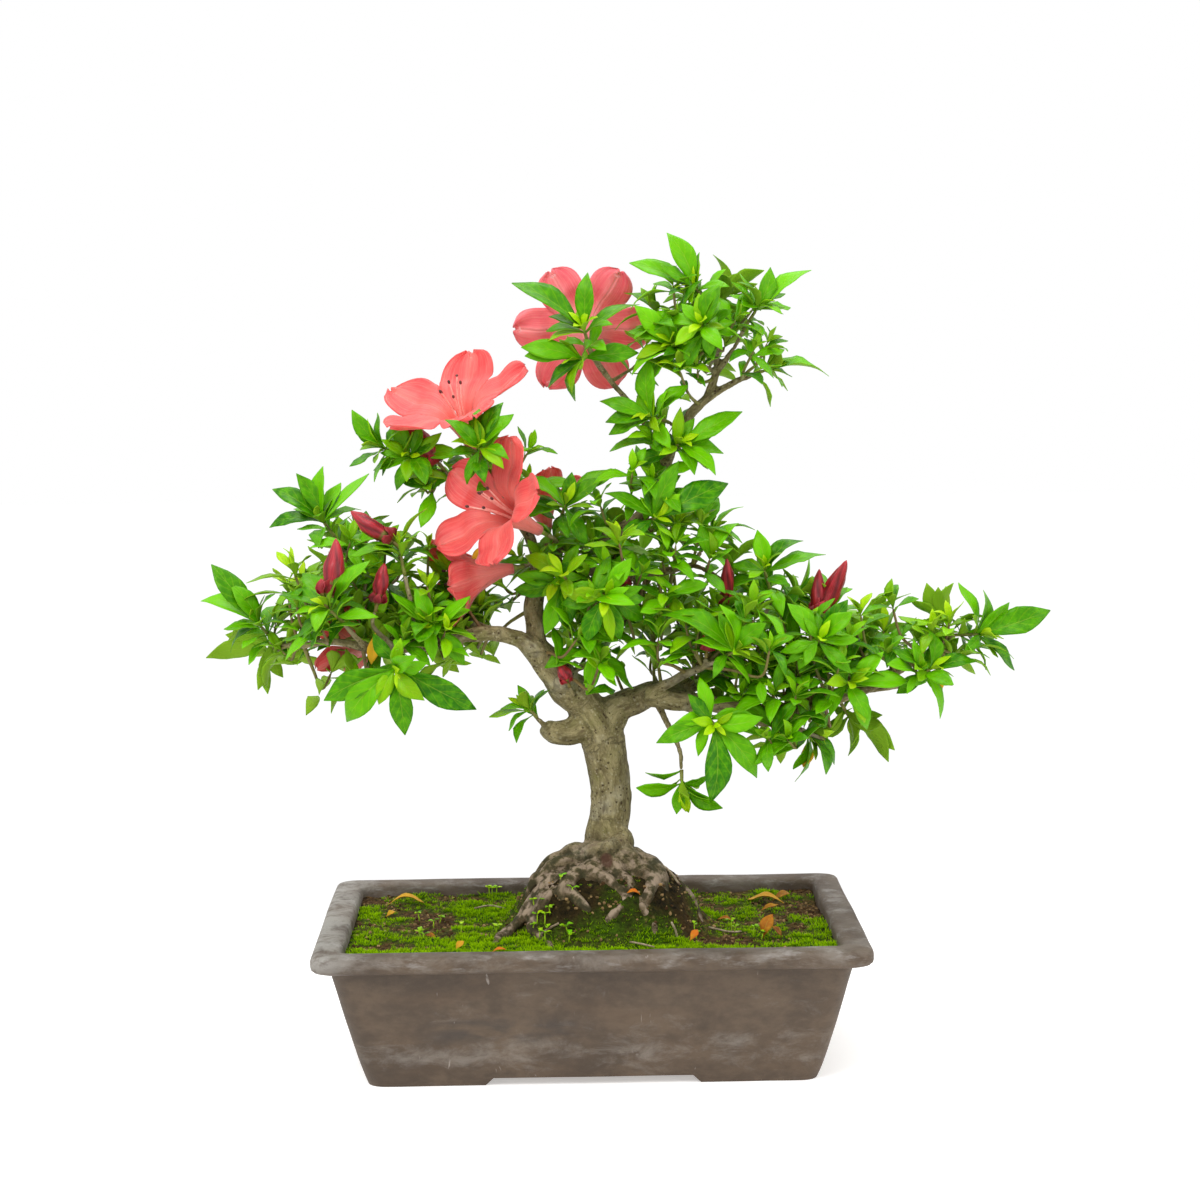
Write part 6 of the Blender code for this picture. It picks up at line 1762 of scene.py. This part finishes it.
def make_floor():
    """A white floor that catches a faint shadow near the pot, thinned there by a painted grey glow, and glows
    plain white farther off.
    """
    bm = bmesh.new()
    bmesh.ops.create_grid(bm, x_segments=2, y_segments=2, size=4.0)
    mesh = new_mesh(bm, "floor")
    finish, tree, shader = new_finish("white_floor")
    x, y, _ = tree.split(tree.coordinates())
    away = tree.span(tree.distance(x, y), 0.2, 0.4)
    # Painted light: near the pot a faint grey glow lifts the shadow. Farther off the floor glows plain white.
    tree.feed_all(shader, {
        "Roughness": 0.7, "Specular IOR Level": 0.1, "Emission Strength": 1.0,
        "Base Color": tree.blend((0.9, 0.9, 0.9, 1.0), (away, (0.0, 0.0, 0.0, 1.0))),
        "Emission Color": tree.blend((0.42, 0.41, 0.4, 1.0), (away, (1.0, 1.0, 1.0, 1.0)))})
    mesh.materials.append(finish)
    new_object("floor", mesh)


def make_studio():
    """White all round to the camera, a softer light to the scene, and three lamps."""
    scene = bpy.context.scene
    scene.view_settings.view_transform = "Standard"
    scene.world = bpy.data.worlds.new("studio")
    scene.world.use_nodes = True
    tree = Tree(scene.world.node_tree)
    nodes = tree.tree.nodes
    white = {"Color": (1.0, 1.0, 1.0, 1.0)}
    tree.feed_all(nodes["Background"].inputs, white | {"Strength": 0.8})
    mix = tree.node("MixShader")
    tree.feed(mix.inputs["Fac"], tree.node("LightPath").outputs["Is Camera Ray"])
    tree.feed(mix.inputs[1], nodes["Background"].outputs["Background"])
    tree.feed(mix.inputs[2], tree.fed("Background", "Background", white))
    tree.feed(nodes["World Output"].inputs["Surface"], mix.outputs["Shader"])
    make_lamp("key", (-0.9, -1.3, 1.7), (0, 0, 0.2), 1.2, 26)
    make_lamp("fill", (1.4, -1.0, 0.9), (0, 0, 0.2), 1.2, 9)
    make_lamp("top", (0.1, 0.4, 1.9), (0, 0, 0.2), 1.4, 16)


def main():
    make_camera()
    make_studio()
    make_floor()
    green = leaf_finish("leaf_green", rgb(28, 100, 0), rgb(110, 190, 0), rgb(182, 216, 8), rgb(138, 174, 38))
    twig = stem_finish()
    for name in SHOOTS:
        make_shoot(name, green)
    limbs = thick_limbs()
    stems = new_bmesh()
    for name in CROWN_FILL:
        make_fill(name, limbs, green, stems)
    make_green_stems(twig, stems)
    make_wood(bark_finish(), limbs)
    coral = petal_finish("petal_coral", rgb(214, 46, 50), rgb(238, 78, 74), rgb(248, 156, 140),
                         rgb(244, 116, 106))
    pink = petal_finish("petal_pink", rgb(224, 78, 92), rgb(236, 106, 114), rgb(250, 168, 162),
                        rgb(246, 150, 148))
    for name in BLOOMS:
        make_bloom(name, pink if name == "bloom_top" else coral)
    make_stamens(plain_finish("filament", rgb(240, 150, 140), rgb(252, 206, 192), 200.0, 0.5),
                 plain_finish("anther", rgb(58, 24, 30), rgb(110, 60, 50), 500.0, 0.6))
    bud = bud_finish()
    for name in BUDS:
        make_bud(name, bud)
    make_pot(pot_finish())
    make_soil(soil_finish())
    make_moss(toned_finish("moss_green", rgb(30, 60, 0), rgb(94, 148, 0), rgb(160, 204, 4)))
    make_grit(toned_finish("clay_grain", rgb(58, 40, 24), rgb(170, 140, 96)))
    dry = leaf_finish("dry_leaf", rgb(116, 58, 24), rgb(222, 170, 40), rgb(214, 98, 24), rgb(160, 110, 56), 0.6)
    make_litter(dry)
    make_strewn_leaves(dry)
    make_loose_twigs(plain_finish("pale_twig", rgb(96, 76, 56), rgb(186, 170, 140), 400.0, 0.8))
    make_seedlings(green)
    screen = plain_finish("drain_screen_plastic", rgb(34, 34, 36), rgb(52, 52, 54), 300.0, 0.6)
    for name in ("drain_screen_left", "drain_screen_right"):
        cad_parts[name].data.materials.clear()
        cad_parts[name].data.materials.append(screen)


main()
